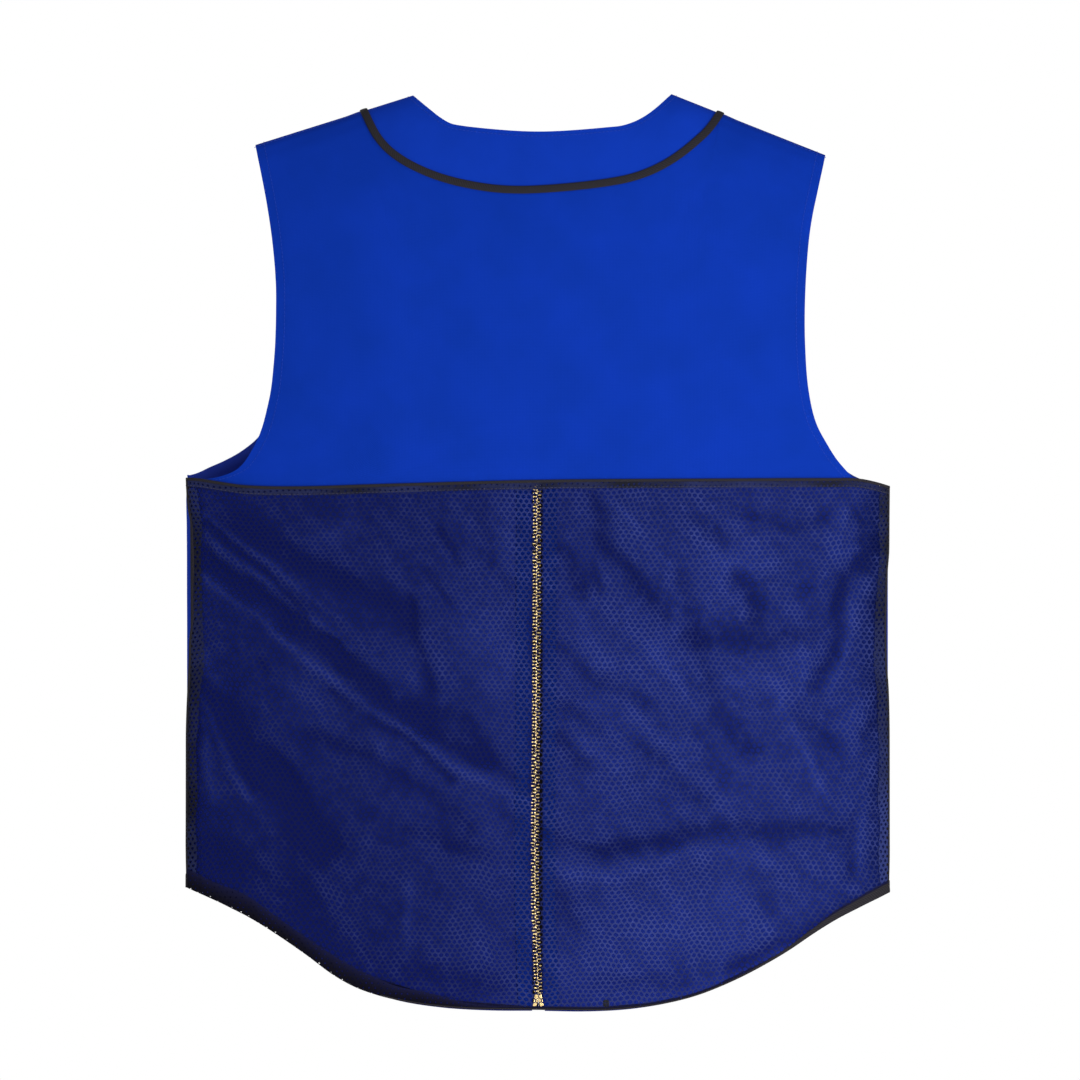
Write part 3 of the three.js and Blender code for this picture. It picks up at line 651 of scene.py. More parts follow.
# Knitted polyester net, navy: soft dull threads, rounded between the holes, with painted light where the
# panel stands out in a crease and painted shade in its dips.
net_thread, tree, shader = new_material("Knitted polyester net, navy", Roughness=0.8,
                                        Specular_IOR_Level=0.03)
place = put(tree, "ShaderNodeUVMap", uv_map="cut").outputs["UV"]
axes = put(tree, "ShaderNodeSeparateXYZ", {0: place})
waves = []
for axis, turn in ((0, 2 * math.pi / HOLE_PITCH), (1, math.pi / HOLE_ROW)):
    turned = put(tree, "ShaderNodeMath", {0: axes.outputs[axis], 1: turn}, operation="MULTIPLY")
    waves.append(put(tree, "ShaderNodeMath", {0: turned.outputs[0]}, operation="COSINE").outputs[0])
holes = put(tree, "ShaderNodeMath", {0: waves[0], 1: waves[1]}, operation="MULTIPLY")
strand = put(tree, "ShaderNodeMath", {0: 1.0, 1: holes.outputs[0]}, operation="SUBTRACT")
relief = put(tree, "ShaderNodeBump", {"Height": strand.outputs[0], "Strength": 0.7, "Distance": 0.35 * MM})
# The tone paints light and shade on the threads: darker in crease dips, along the zip, at the edges and to
# the left, paler where the net stands out.
tone = put(tree, "ShaderNodeAttribute", attribute_name="tone")
shade = put(tree, "ShaderNodeMapRange", {0: tone.outputs["Fac"], 1: TONES[0], 2: TONES[1]})
tint = put(tree, "ShaderNodeMix", {0: shade.outputs[0], 6: linear("#020528"), 7: linear("#272f60")},
           data_type="RGBA")
tree.links.new(tint.outputs[2], shader["Base Color"])
tree.links.new(relief.outputs[0], shader["Normal"])

net_points = finer(cloth_corners("mesh_back_panel", BACK), *NET_FINER)
net_flat = flat_places(net_points)
calm = np.clip(from_edge(net_flat) / NET_CALM, 0, 1) ** 1.5
net_tone, net_lift = creases(net_points, NET_CREASES)
cloudy = streaks(net_flat, STREAK_TURN, STREAK_LONG, STREAK_WIDE, seed=7.5)
cloudy += SPECKLE_SHARE * unevenness(net_flat, SPECKLE, seed=2.5)
grain = CLOUDY_TONE * cloudy + FINE_TONE * unevenness(net_flat, FINE_SPECKLE, seed=12.5)
grain *= np.interp(net_points[..., 0] / MM, *GRAIN_ACROSS)
net_tone = net_tone * CREASE_SHADE + grain * np.clip(from_edge(net_flat) / GRAIN_CALM, 0, 1)
net_lift += cloudy * STREAK_HIGH
net_points += outward(net_points, BACK) * (net_lift * calm)[..., None]

# Painted light and shade by place: the net's threads are painted darker towards the left and a little paler
# near the hem. The fronts' inner side, which shows through the holes, gets the painted shade of the same
# creases, and is painted darker to the left and near the hem and paler to the right. Tones go by the place
# across and up, in mm.
ARMPIT_Z = -0.31
ARMHOLE_RIM = 9 * MM         # light falls so far in over the armholes' edges
RIM_LIGHT = 6.0
ACROSS = (-276, -120, 0, 60, 150, 270)
UP = (-720, -620, -560)
PAINTED_LIGHT_TONES = {"threads": ((-2.7, -2.1, -0.7, 0.0, -0.3, -0.6), (0.5, 0.4, 0.0)),
              "cloth behind": ((-2.2, -1.7, -0.55, 0.0, 0.6, 1.0), (-0.9, -0.7, 0.0))}


def painted_light_tone(points, layer):
    """The painted light and shade of a layer at each point, from its place across and up."""
    across, up = PAINTED_LIGHT_TONES[layer]
    return np.interp(points[..., 0] / MM, ACROSS, across) + np.interp(points[..., 2] / MM, UP, up)


net_tone = np.clip(net_tone + painted_light_tone(net_points, "threads"), *SHADE_LIMITS)
for hand, points in front_points.items():
    behind = creases(points, NET_CREASES)[0] * CREASE_SHADE + painted_light_tone(points, "cloth behind")
    rim = np.exp(-(from_edge(flat_places(points)) / ARMHOLE_RIM) ** 2) * (points[..., 2] > ARMPIT_Z)
    behind = np.clip(behind + RIM_LIGHT * rim, *SHADE_LIMITS)
    fronts[hand].data.attributes.new("tone", "FLOAT", "POINT").data.foreach_set("value", behind.ravel())
net = knit("net_back", net_points, net_tone, net_cell("net_cell", NET_OPEN),
           net_cell("wide_cell", ZIP_OPEN), net_thread)
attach(net, "root")
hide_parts("mesh_back_panel")

# Side seams
# The fronts' side edges are turned in behind the edges of the net, from the armpits down to the hem,
# and sewn to them.
SEAM_INSIDE = 1.3 * MM
SEAM_THICK = 0.5 * MM
turned_in = {}
net_inside = net_points - outward(net_points, BACK) * SEAM_INSIDE
for hand, edge, step, facing in (("left", 0, 1, BACK), ("right", -1, -1, FRONT)):
    points = front_points[hand]
    front_inside = points - outward(points, FRONT) * SEAM_INSIDE
    below = points[:, edge, 2] < net_points[0, edge, 2]
    # From two columns within the front, over its edge, to four columns within the net.
    ways = [front_inside[below, edge + k * step] for k in (2, 0)]
    for k in (1, 4):
        beside = net_inside[:, edge + k * step]
        level = [np.interp(-ways[1][:, 2], -beside[:, 2], beside[:, n]) for n in range(3)]
        ways.append(np.stack(level, axis=1))
    points = np.stack(ways, axis=1)
    turned_in[hand] = cloth_piece(f"{hand}_seam_cloth", points, facing, poplin_inner_painted_shade, SEAM_THICK)
    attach(turned_in[hand], "root")

# Doubled strips
# The net is folded over along the yoke seam, down both sides and along the hem,
# so that two layers lie over each other there and show darker.
STRIP_OPEN = {"yoke_seam_band": 0.16, "left_side_band": 0.3, "right_side_band": 0.3, "hem_band": 0.05}
STRIP_FINER = (6, 4)
SIDE_STRIP_FINER = (4, 8)
STRIP_SHIFT = (1.3 * MM, 1.5 * MM)   # the strips' holes lie aside from those of the net under them
STRIP_WANDER = 2.6 * MM      # how far a strip's inner edge strays
HEM_STRAY = 32 * MM          # length over which the hem's edge strays
SIDE_STRAY = 26 * MM
SIDE_LONGER = 0.33           # share of the frame's last step by which the side strips reach under the hem
SIDE_UNDER = 0.5 * MM
HEM_STRIP_TALLER = 0.3       # share by which the folded net on the left hem stands above the frame's strip
LOOSE_HEM = (-110, -40), (1.0, 0.0)  # where it does: across in mm, and share
BLUE_SIDE = (-590, -500), (1.0, 0.0)  # the right strip looks bluer at its foot: up in mm, and share
# Past the strips a sliver of the blue fronts shows, at these heights and so wide, in mm.
SLIVERS = {"left": ((-430, -415, -335, -325), (0.0, 2.4, 2.4, 0.0)),
           "right": ((-470, -450, -375, -360), (0.0, 1.6, 1.6, 0.0))}
PATCH = 50 * MM


def doubled_net(name, dark, light, patches):
    """Two layers of net that lie on each other, between two tints, with so strong patches."""
    material, tree, shader = new_material(name, Roughness=0.85, Specular_IOR_Level=0.03)
    place = put(tree, "ShaderNodeUVMap", uv_map="cut").outputs["UV"]
    cloud = put(tree, "ShaderNodeTexNoise", {"Vector": place, "Scale": 1 / PATCH, "Detail": 4.0})
    patchy = put(tree, "ShaderNodeMapRange", {0: cloud.outputs["Fac"], 1: 0.35, 2: 0.7})
    tone = put(tree, "ShaderNodeAttribute", attribute_name="tone")
    share = put(tree, "ShaderNodeMath", {0: patchy.outputs[0], 1: patches, 2: tone.outputs["Fac"]},
                operation="MULTIPLY_ADD", use_clamp=True)
    tint = put(tree, "ShaderNodeMix", {0: share.outputs[0], 6: linear(dark), 7: linear(light)},
               data_type="RGBA")
    tree.links.new(tint.outputs[2], shader["Base Color"])
    return material


# Doubled net, charcoal with blue patches where the cloth behind shows; on the hem it is turned over twice
# and almost black.
doubled = doubled_net("Doubled net, charcoal", "#11121a", "#1f264f", 0.6)
doubled_hem = doubled_net("Doubled net at the hem, black", "#060508", "#0e0f28", 0.15)

strip_points = {}
for node, open_share in STRIP_OPEN.items():
    hand = node.split("_")[0]
    points = cloth_corners(node, BACK)
    if node == "hem_band":
        loose = np.interp(points[0, :, 0] / MM, *LOOSE_HEM)
        points[0] += (points[0] - points[1]) * loose[:, None] * HEM_STRIP_TALLER
        points = finer(points, *STRIP_FINER)
        up = np.linspace(1, 0, len(points))[:, None]
        stray = unevenness(flat_places(points) * (1, 0), HEM_STRAY, seed=5.5) * up
        stray *= np.interp(points[..., 0] / MM, *LOOSE_HEM)
        ways = -np.gradient(points, axis=0)
        tone = np.repeat(up ** 2, points.shape[1], axis=1)
    elif hand in SLIVERS:
        outer, inward = (0, 1) if hand == "left" else (-1, -1)
        points[-1] += (points[-1] - points[-2]) * SIDE_LONGER - outward(points, BACK)[-1] * SIDE_UNDER
        sliver = np.interp(points[:, outer, 2] / MM, *SLIVERS[hand])[:, None] * MM
        points[:, outer] += unit(points[:, 1] - points[:, outer]) * sliver
        points = finer(points, *SIDE_STRIP_FINER)
        share = np.linspace(0, 1, points.shape[1])[::inward]
        stray = unevenness(flat_places(points) * (0, 1), SIDE_STRAY, seed=8.5) * share ** 2
        ways = np.gradient(points, axis=1) * inward
        tone = np.interp(points[..., 2] / MM, *BLUE_SIDE) * (hand == "right")
    else:
        points = finer(points, *STRIP_FINER)
        stray = np.zeros(points.shape[:2])
        ways = np.gradient(points, axis=0)
        tone = stray
    points += unit(ways) * stray[..., None] * STRIP_WANDER
    strip_points[node] = points
    cell_mesh = net_cell("strip_cell", open_share)
    strip = knit(node.replace("band", "strip"), points, tone, cell_mesh, cell_mesh,
                 doubled_hem if node == "hem_band" else doubled, STRIP_SHIFT)
    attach(strip, "root")
    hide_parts(node)

# Piping
# A flat dark braid, sewn over the seam between the neck band and the rest of the vest.
# It runs round the back of the neck and down both fronts to the zip.
PIPING_WIDE = 6.2 * MM
PIPING_THICK = 1.5 * MM
PIPING_GAP = 0.2 * MM
PIPING_PAST = 0.4 * MM       # past the shoulder seam at each end
PIPING_SIDES = 16
PIPING_SQUARE = 0.7          # 1 is an oval, 0 a box
SIDE_DRAWN = 0.9 * MM        # width of one side in the ribs' pattern
RIB_PITCH = 1.0 * MM

# Flat polyester braid, charcoal: dull, with fine slanting ribs that are a little paler on their backs.
braid, tree, shader = new_material("Flat braid, charcoal", Roughness=0.85, Specular_IOR_Level=0.04)
place = put(tree, "ShaderNodeUVMap", uv_map="cut").outputs["UV"]
ribs = put(tree, "ShaderNodeTexWave", {
    "Vector": place, "Scale": WAVE_LENGTH / RIB_PITCH, "Distortion": 1.5}, bands_direction="DIAGONAL")
relief = put(tree, "ShaderNodeBump", {
    "Height": ribs.outputs["Fac"], "Strength": 0.4, "Distance": 0.15 * MM})
tint = put(tree, "ShaderNodeMix", {0: ribs.outputs["Fac"], 6: linear("#161518"), 7: linear("#232125")},
           data_type="RGBA")
tree.links.new(tint.outputs[2], shader["Base Color"])
tree.links.new(relief.outputs[0], shader["Normal"])


def lengths_along(path):
    """How far along a path each of its points lies."""
    return np.concatenate([[0], np.cumsum(np.linalg.norm(np.diff(path, axis=0), axis=1))])


def laid_braid(name, runs, wide, thick, gap, material):
    """A flat oval braid on one or more paths, closed at its ends; its width may change along them."""
    shape = bmesh.new()
    layer = shape.loops.layers.uv.new("cut")
    turn = np.linspace(0, 2 * math.pi, PIPING_SIDES, endpoint=False)
    across = np.sign(np.cos(turn)) * np.abs(np.cos(turn)) ** PIPING_SQUARE / 2
    high = np.sin(turn) * thick / 2 + gap + thick / 2
    for path, outs in runs:
        along = unit(np.gradient(path, axis=0))
        outs = unit(outs - along * (outs * along).sum(axis=1, keepdims=True))
        over = np.cross(along, outs) * np.broadcast_to(wide, len(path))[:, None]
        rings = path[:, None] + over[:, None] * across[:, None] + outs[:, None] * high[:, None]
        gone = lengths_along(path)
        verts = [[shape.verts.new(spot) for spot in ring] for ring in rings]
        for i in range(len(verts) - 1):
            for k in range(PIPING_SIDES):
                n = (k + 1) % PIPING_SIDES
                face = shape.faces.new((verts[i][k], verts[i + 1][k], verts[i + 1][n], verts[i][n]))
                for loop, (step, side) in zip(face.loops, ((i, k), (i + 1, k), (i + 1, k + 1), (i, k + 1))):
                    loop[layer].uv = (gone[step], side * SIDE_DRAWN)
        shape.faces.new(verts[0])
        shape.faces.new(verts[-1][::-1])
    bmesh.ops.recalc_face_normals(shape, faces=shape.faces)
    mesh = finished(name, shape)
    mesh.shade_smooth()
    return add_piece(name, mesh, material)


def carried_on(path, outs, far):
    """A path carried on straight past both its ends."""
    ends = unit(np.stack([path[0] - path[1], path[-1] - path[-2]])) * far
    return (np.concatenate([path[:1] + ends[:1], path, path[-1:] + ends[1:]]),
            np.concatenate([outs[:1], outs, outs[-1:]]))


runs = {"back": carried_on(neck_points[-1], outward(neck_points, BACK)[-1], PIPING_PAST)}
for hand, column in (("left", 0), ("right", -1)):
    points = front_band_points[hand]
    runs[hand] = carried_on(points[:, column], outward(points, FRONT)[:, column], PIPING_PAST)
for side, run in runs.items():
    piping = laid_braid(f"{side}_braid", [run], PIPING_WIDE, PIPING_THICK, PIPING_GAP, braid)
    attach(piping, "root")
    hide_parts(f"{side}_piping")

# Overlocked edges
# The net's edges, single and doubled, are bound in overlock thread, so that the cut net can't run.
# On the left the hem is left as it was cut.
OVERLOCK_WIDE = 2.3 * MM
OVERLOCK_THICK = 1.0 * MM
OVERLOCK_IN = 0.8 * MM       # from the net's edge to the middle of the binding
# Width along the hem, which the thread covers more of near the right corner: across and width in mm.
HEM_OVERLOCK_WIDE = (150, 190, 219, 248, 277), (1.3, 2.2, 4.0, 6.0, 8.0)
HEM_OVERLOCK_OUT = 1.0 * MM  # over the doubled net
HEM_CUT_X = -125 * MM        # left of this the hem isn't bound


def inset_line(points, facing, edge, inset):
    """A line along one edge of a panel, set in from it, with the cloth's outer side."""
    outs = outward(points, facing)
    if edge in ("left", "right"):
        points = points.transpose(1, 0, 2)
        outs = outs.transpose(1, 0, 2)
    if edge in ("right", "foot"):
        points = points[::-1]
        outs = outs[::-1]
    gone = np.cumsum(np.linalg.norm(np.diff(points, axis=0, prepend=points[:1]), axis=2), axis=0)
    row = np.argmax(gone > inset, axis=0)
    column = np.arange(len(row))
    before = gone[row - 1, column]
    share = ((inset - before) / (gone[row, column] - before))[:, None]
    return points[row - 1, column] * (1 - share) + points[row, column] * share, outs[row, column]


runs = [inset_line(points, BACK, edge, OVERLOCK_IN) for points, edge in (
    (net_points, "left"), (net_points, "right"), (strip_points["yoke_seam_band"], "top"))]
for hand in ("left", "right"):
    nodes = ("yoke_seam_band", f"{hand}_side_band", "hem_band")
    parts = [inset_line(strip_points[node], BACK, hand, OVERLOCK_IN) for node in nodes]
    path, outs = (np.concatenate(lists) for lists in zip(*parts))
    falling = np.diff(np.minimum.accumulate(path[:, 2]), prepend=1.0) < 0
    runs.append((path[falling], outs[falling]))
overlock = laid_braid("net_overlock", runs, OVERLOCK_WIDE, OVERLOCK_THICK, -OVERLOCK_THICK / 2, braid)
hem_wide = np.interp(net_points[-1, :, 0] / MM, *HEM_OVERLOCK_WIDE) * MM
path, outs = inset_line(net_points, BACK, "foot", hem_wide / 2)
bound = path[:, 0] > HEM_CUT_X
hem_overlock = laid_braid("hem_overlock", [(path[bound], outs[bound])], hem_wide[bound],
                          OVERLOCK_THICK, HEM_OVERLOCK_OUT, braid)
for bound_edge in (overlock, hem_overlock):
    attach(bound_edge, "root")

# Zip tapes
# Two tapes of tightly woven polyester carry the teeth.
# They are sewn behind the folded centre edges of the fronts and meet inside the teeth.
TAPE_IN_TEETH = 3.6 * MM
TAPE_PAST_TEETH = 12.4 * MM  # down to the hem, behind the stop
TAPE_THICK = 0.9 * MM
TAPE_RIB = 1.2 * MM
TAPE_FINER = (4, 6)
# The teeth's painted shade on the tape:
TEETH_SHADE = (3.6 * MM, 5.0 * MM)   # the tape is dark up to here from the centre, and clear from here on

# Polyester tape, woven tight and dyed with the cloth: dull blue with fine ribs across it, and painted
# shade, almost black, under and between the teeth.
tape_weave, tree, shader = new_material("Woven polyester tape, blue", Roughness=0.8,
                                        Specular_IOR_Level=0.02)
place = put(tree, "ShaderNodeUVMap", uv_map="cut").outputs["UV"]
ribs = put(tree, "ShaderNodeTexWave", {"Vector": place, "Scale": WAVE_LENGTH / TAPE_RIB},
           bands_direction="Y")
relief = put(tree, "ShaderNodeBump", {
    "Height": ribs.outputs["Fac"], "Strength": 0.4, "Distance": 0.2 * MM})
tint = put(tree, "ShaderNodeMix", {0: ribs.outputs["Fac"], 6: linear("#05134f"), 7: linear("#082173")},
           data_type="RGBA")
# Painted shade: near the teeth the tape is painted almost black.
across = put(tree, "ShaderNodeSeparateXYZ", {0: place}).outputs[0]
away = put(tree, "ShaderNodeMath", {0: across}, operation="ABSOLUTE").outputs[0]
clear = put(tree, "ShaderNodeMapRange", {0: away, 1: TEETH_SHADE[0], 2: TEETH_SHADE[1]})
tint = put(tree, "ShaderNodeMix", {0: clear.outputs[0], 6: linear("#0c0906"), 7: tint.outputs[2]},
           data_type="RGBA")
tree.links.new(tint.outputs[2], shader["Base Color"])
tree.links.new(relief.outputs[0], shader["Normal"])

tapes = {}
tape_points = {}
for hand in ("left", "right"):
    corners = cloth_corners(f"zip_tape_{hand}", FRONT)
    end = unit(corners[-1] - corners[-2]) * TAPE_PAST_TEETH
    corners = np.concatenate([corners, corners[-1:] + end])
    near, far = (1, 0) if hand == "left" else (0, 1)
    corners[:, near] += unit(corners[:, near] - corners[:, far]) * TAPE_IN_TEETH
    tape_points[hand] = finer(corners, *TAPE_FINER)
    tapes[hand] = cloth_piece(f"{hand}_zip_tape", tape_points[hand], FRONT, tape_weave, TAPE_THICK)
    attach(tapes[hand], "root")
    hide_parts(f"zip_tape_{hand}")

# Zip teeth
# Stamped brass teeth with a gold finish, clamped on the tapes' edges, half a pitch apart on the two sides.
# They run from the slider down to the foot of the front.
TOOTH_PITCH = 2.65 * MM
TEETH_DEEP = 1.3 * MM        # from the frame's outer face to the middle of the teeth
DENT = 1.6 * MM
TOOTH_EDGE = ((1, 0.5), (0.6, 1), (-0.6, 1), (-1, 0.5), (-1, -0.5), (-0.6, -1), (0.6, -1), (1, -0.5))
TOOTH_SECTIONS = (           # place across from the centre line, half height and half thickness, in mm
    (-0.85, 0.2, 0.5),
    (-0.6, 0.42, 0.95),
    (0.2, 0.64, 1.2),
    (0.75, 0.55, 1.2),
    (1.5, 0.6, 1.2),
    (2.7, 0.78, 1.28),
    (3.05, 0.62, 1.12),
    (3.2, 0.3, 0.7),
)

# Brass with a gold-coloured finish, stamped and tumbled: warm bright highlights that the small
# dents of the stamping break up.
brass, tree, shader = new_material("Gold-finished brass", Metallic=1.0)
place = put(tree, "ShaderNodeTexCoord").outputs["Object"]
dents = put(tree, "ShaderNodeTexNoise", {"Vector": place, "Scale": 1 / DENT, "Detail": 2.0})
tint = put(tree, "ShaderNodeMix", {0: dents.outputs["Fac"], 6: linear("#806030"), 7: linear("#f8dea0")},
           data_type="RGBA")
rough = put(tree, "ShaderNodeMapRange", {0: dents.outputs["Fac"], 3: 0.2, 4: 0.4})
relief = put(tree, "ShaderNodeBump", {
    "Height": dents.outputs["Fac"], "Strength": 0.3, "Distance": 0.2 * MM})
tree.links.new(tint.outputs[2], shader["Base Color"])
tree.links.new(rough.outputs[0], shader["Roughness"])
tree.links.new(relief.outputs[0], shader["Normal"])


def through_rings(name, rings):
    """A closed mesh through rings of places, one after the other."""
    shape = bmesh.new()
    rings = [[shape.verts.new(spot) for spot in ring] for ring in rings]
    for near, far in zip(rings, rings[1:]):
        for k in range(len(near)):
            shape.faces.new((near[k - 1], near[k], far[k], far[k - 1]))
    shape.faces.new(rings[0])
    shape.faces.new(rings[-1][::-1])
    bmesh.ops.recalc_face_normals(shape, faces=shape.faces)
    return finished(name, shape)


def tooth_mesh(name, hand):
    """One tooth: along is +X, out of the cloth is +Z, and it reaches away from the centre line."""
    return through_rings(name, [
        [(x * high * MM, hand * reach * MM, z * thick * MM) for x, z in TOOTH_EDGE]
        for reach, high, thick in TOOTH_SECTIONS])


# Small equal pieces set along a path on the cloth, each turned with the path and with the cloth's outer
# side.
row_tree, given = new_tree("Pieces along a path", (
    ("Path", "NodeSocketGeometry"), ("Piece", "NodeSocketObject"), ("Pitch", "NodeSocketFloat"),
    ("Finish", "NodeSocketMaterial")))
line = put(row_tree, "GeometryNodeMeshToCurve", {"Mesh": given["Path"]})
line = put(row_tree, "GeometryNodeResampleCurve", {
    "Curve": line.outputs[0], "Length": given["Pitch"]}, mode="LENGTH")
tangent = put(row_tree, "GeometryNodeInputTangent").outputs[0]
out = put(row_tree, "GeometryNodeInputNamedAttribute", {"Name": "out"}, data_type="FLOAT_VECTOR")
turned = put(row_tree, "FunctionNodeAlignRotationToVector", {"Vector": tangent}, axis="X")
turned = put(row_tree, "FunctionNodeAlignRotationToVector", {
    "Rotation": turned.outputs[0], "Vector": out.outputs["Attribute"]}, axis="Z", pivot_axis="X")
piece = put(row_tree, "GeometryNodeObjectInfo", {"Object": given["Piece"]})
row = put(row_tree, "GeometryNodeInstanceOnPoints", {
    "Points": line.outputs[0], "Instance": piece.outputs["Geometry"], "Rotation": turned.outputs[0]})
row = put(row_tree, "GeometryNodeRealizeInstances", {"Geometry": row.outputs[0]})
row = put(row_tree, "GeometryNodeSetMaterial", {"Geometry": row.outputs[0], "Material": given["Finish"]})
put(row_tree, "NodeGroupOutput", {0: row.outputs[0]})


def set_along(name, paths, piece_mesh, pitch, material):
    """Pieces at an even pitch along one or more paths, each given with the cloth's outer side."""
    mesh = bpy.data.meshes.new(name + "_path")
    spots, sides, edges = [], [], []
    for path, outs in paths:
        gone = lengths_along(path)
        fine = np.linspace(0, gone[-1] // pitch * pitch, len(path) * 2)
        edges += [(len(spots) + i, len(spots) + i + 1) for i in range(len(fine) - 1)]
        spots += np.stack([np.interp(fine, gone, path[:, k]) for k in range(3)], axis=1).tolist()
        sides += np.stack([np.interp(fine, gone, outs[:, k]) for k in range(3)], axis=1).tolist()
    mesh.from_pydata(spots, edges, [])
    mesh.attributes.new("out", "FLOAT_VECTOR", "POINT").data.foreach_set("vector", np.ravel(sides))
    single = add_piece("single", piece_mesh, material)
    row = grow(name, mesh, row_tree, material, {"Piece": single, "Pitch": pitch, "Finish": material})
    bpy.data.objects.remove(single)
    return row


for hand, side, edge, lower in (("left", 1, -1, 0.0), ("right", -1, 0, TOOTH_PITCH / 2)):
    corners = cloth_corners(f"zip_teeth_{hand}", FRONT)
    outs = outward(finer(corners, 1, 2), FRONT)[:, 0]
    path = corners[:, edge] - outs * TEETH_DEEP - np.array((0, 0, lower))
    teeth = set_along(f"{hand}_teeth", [(path, outs)], tooth_mesh("tooth", side), TOOTH_PITCH, brass)
    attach(teeth, "root")
    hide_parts(f"zip_teeth_{hand}")

# Zip ends
# The slider with its hanging pull at the top and the splayed stop at the foot, die-cast, in the same gold.
# The slider rides on the closed teeth, and the stop is clamped below the last of them.
EDGE_ROUND = 0.3 * MM
SLIDER_DROP = 5 * MM         # from the frame's slider top to the middle of the outlines


def stamped(metal, outlines, near, far, on):
    """Adds a plate between two depths to a shape: the first outline is its edge, the others its holes."""
    edges = []
    for outline in outlines:
        verts = [metal.verts.new(on(*spot, near)) for spot in outline]
        edges += [metal.edges.new((v, verts[k - 1])) for k, v in enumerate(verts)]
    filled = bmesh.ops.triangle_fill(metal, edges=edges, use_beauty=True)["geom"]
    faces = [part for part in filled if isinstance(part, bmesh.types.BMFace)]
    grown = bmesh.ops.extrude_face_region(metal, geom=faces)["geom"]
    verts = [part for part in grown if isinstance(part, bmesh.types.BMVert)]
    bmesh.ops.translate(metal, verts=verts, vec=Vector(on(0, 0, far)) - Vector(on(0, 0, near)))


def both_halves(half):
    """A closed outline from the places down its right half, in mm."""
    return half + [(-x, z) for x, z in half[::-1]]


# The slider lies over the teeth; a bridge stands on it, and the pull hangs from the bridge by its upper
# hole. Outlines and depths are in mm.
BODY = both_halves([(0.6, 4.2), (2.4, 5.0), (3.6, 4.6), (4.0, 3.6), (4.0, -2.0), (3.0, -8.2), (2.4, -9.0)])
BRIDGE = [(1.9, 4.0), (4.5, 4.0), (5.3, 3.2), (5.3, -4.8), (4.5, -5.8), (1.9, -5.8),
          (1.9, -4.8), (3.7, -4.8), (4.3, -4.0), (4.3, 2.4), (3.7, 3.0), (1.9, 3.0)]
PULL = both_halves([(0.8, -2.2), (1.8, -2.6), (2.4, -3.6), (2.4, -6.8), (1.7, -9.0), (1.7, -11.0),
                    (3.1, -22.0), (3.7, -28.0), (3.6, -30.4), (2.9, -32.4), (1.7, -33.6), (0.6, -34.0)])
PULL_HOLE = both_halves([(1.35, -4.2), (1.35, -6.9)])
PULL_SLOT = both_halves([(0.7, -22.4), (1.3, -23.2), (1.7, -28.6), (1.3, -30.0), (0.6, -30.6)])
BODY_DEPTHS = (0.0, 2.0)
BRIDGE_SIDES = (-1.1, 1.1)
PULL_DEPTHS = (2.5, 3.7)
box = np.array([corner[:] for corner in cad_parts["zip_slider"].bound_box])
low, high = box.min(axis=0), box.max(axis=0)
centre = np.array(((low[0] + high[0]) / 2, low[1], high[2] - SLIDER_DROP))
slider = bmesh.new()
for outlines, depths in (([BODY], BODY_DEPTHS), ([PULL, PULL_HOLE, PULL_SLOT], PULL_DEPTHS)):
    stamped(slider, outlines, *depths, lambda x, z, y: centre + np.array((x, y, z)) * MM)
stamped(slider, [BRIDGE], *BRIDGE_SIDES, lambda y, z, x: centre + np.array((x, y, z)) * MM)
bmesh.ops.recalc_face_normals(slider, faces=slider.faces)

# The stop keeps the frame's shape, with each of its flat faces whole.
stop = bmesh.new()
stop.from_mesh(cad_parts["zip_bottom_stop"].data)
bmesh.ops.remove_doubles(stop, verts=stop.verts, dist=1e-6)
bmesh.ops.dissolve_limit(stop, angle_limit=math.radians(1), verts=stop.verts, edges=stop.edges)

for shape, node in ((slider, "zip_slider"), (stop, "zip_bottom_stop")):
    piece = add_piece(f"{node}_metal", finished(f"{node}_metal", shape), brass)
    round_edges = piece.modifiers.new("Rounded edges", "BEVEL")
    round_edges.width = EDGE_ROUND
    round_edges.segments = 3
    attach(piece, "root")
    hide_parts(node)

# Stitching
# Lockstitch in polyester thread: pale along the foot of the doubled strip under the yoke,
# blue along the armholes and hems of the cloth.
STITCH_LONG = 2.4 * MM
STITCH_PITCH = 3.1 * MM
STITCH_HALF = 0.28 * MM
STITCH_SIDES = 6
TWIST = 0.8 * MM             # real thread twists finer, too fine for the render
# How far from its edge each row of stitches lies.
SEAM_INSET = 0.9 * MM
ARMHOLE_INSET = 7 * MM
SHOULDER_INSET = 5 * MM
NECK_INSET = 4 * MM
ZIP_INSET = 5 * MM
HEM_INSET = 10 * MM
SHOULDER_X = 142 * MM        # the shoulder seams lie further out than this
ARMHOLE_END_Z = -0.29
BARTACK_X = 53.8 * MM
BARTACK_TALL = 9 * MM
BARTACK_OUT = 0.7 * MM
BARTACK_STEP = 0.6 * MM
BARTACK_PITCH = 2.0 * MM


def stitch_mesh(name):
    """One stitch: a short thread that rises out of the cloth and goes back in."""
    turns = [2 * math.pi * k / STITCH_SIDES for k in range(STITCH_SIDES)]
    rings = []
    for share in (-1, -0.6, 0, 0.6, 1):
        high = STITCH_HALF * (1.4 * (1 - share ** 2) - 0.5)
        fat = STITCH_HALF * (1.0 - 0.45 * share ** 2)
        far = share * STITCH_LONG / 2
        rings.append([(far, fat * math.cos(t), high + fat * math.sin(t)) for t in turns])
    mesh = through_rings(name, rings)
    mesh.shade_smooth()
    return mesh


def sew(name, lines, thread, pitch=STITCH_PITCH):
    """Rows of stitches along lines on the cloth, as one piece."""
    return set_along(name, lines, stitch_mesh("stitch"), pitch, thread)


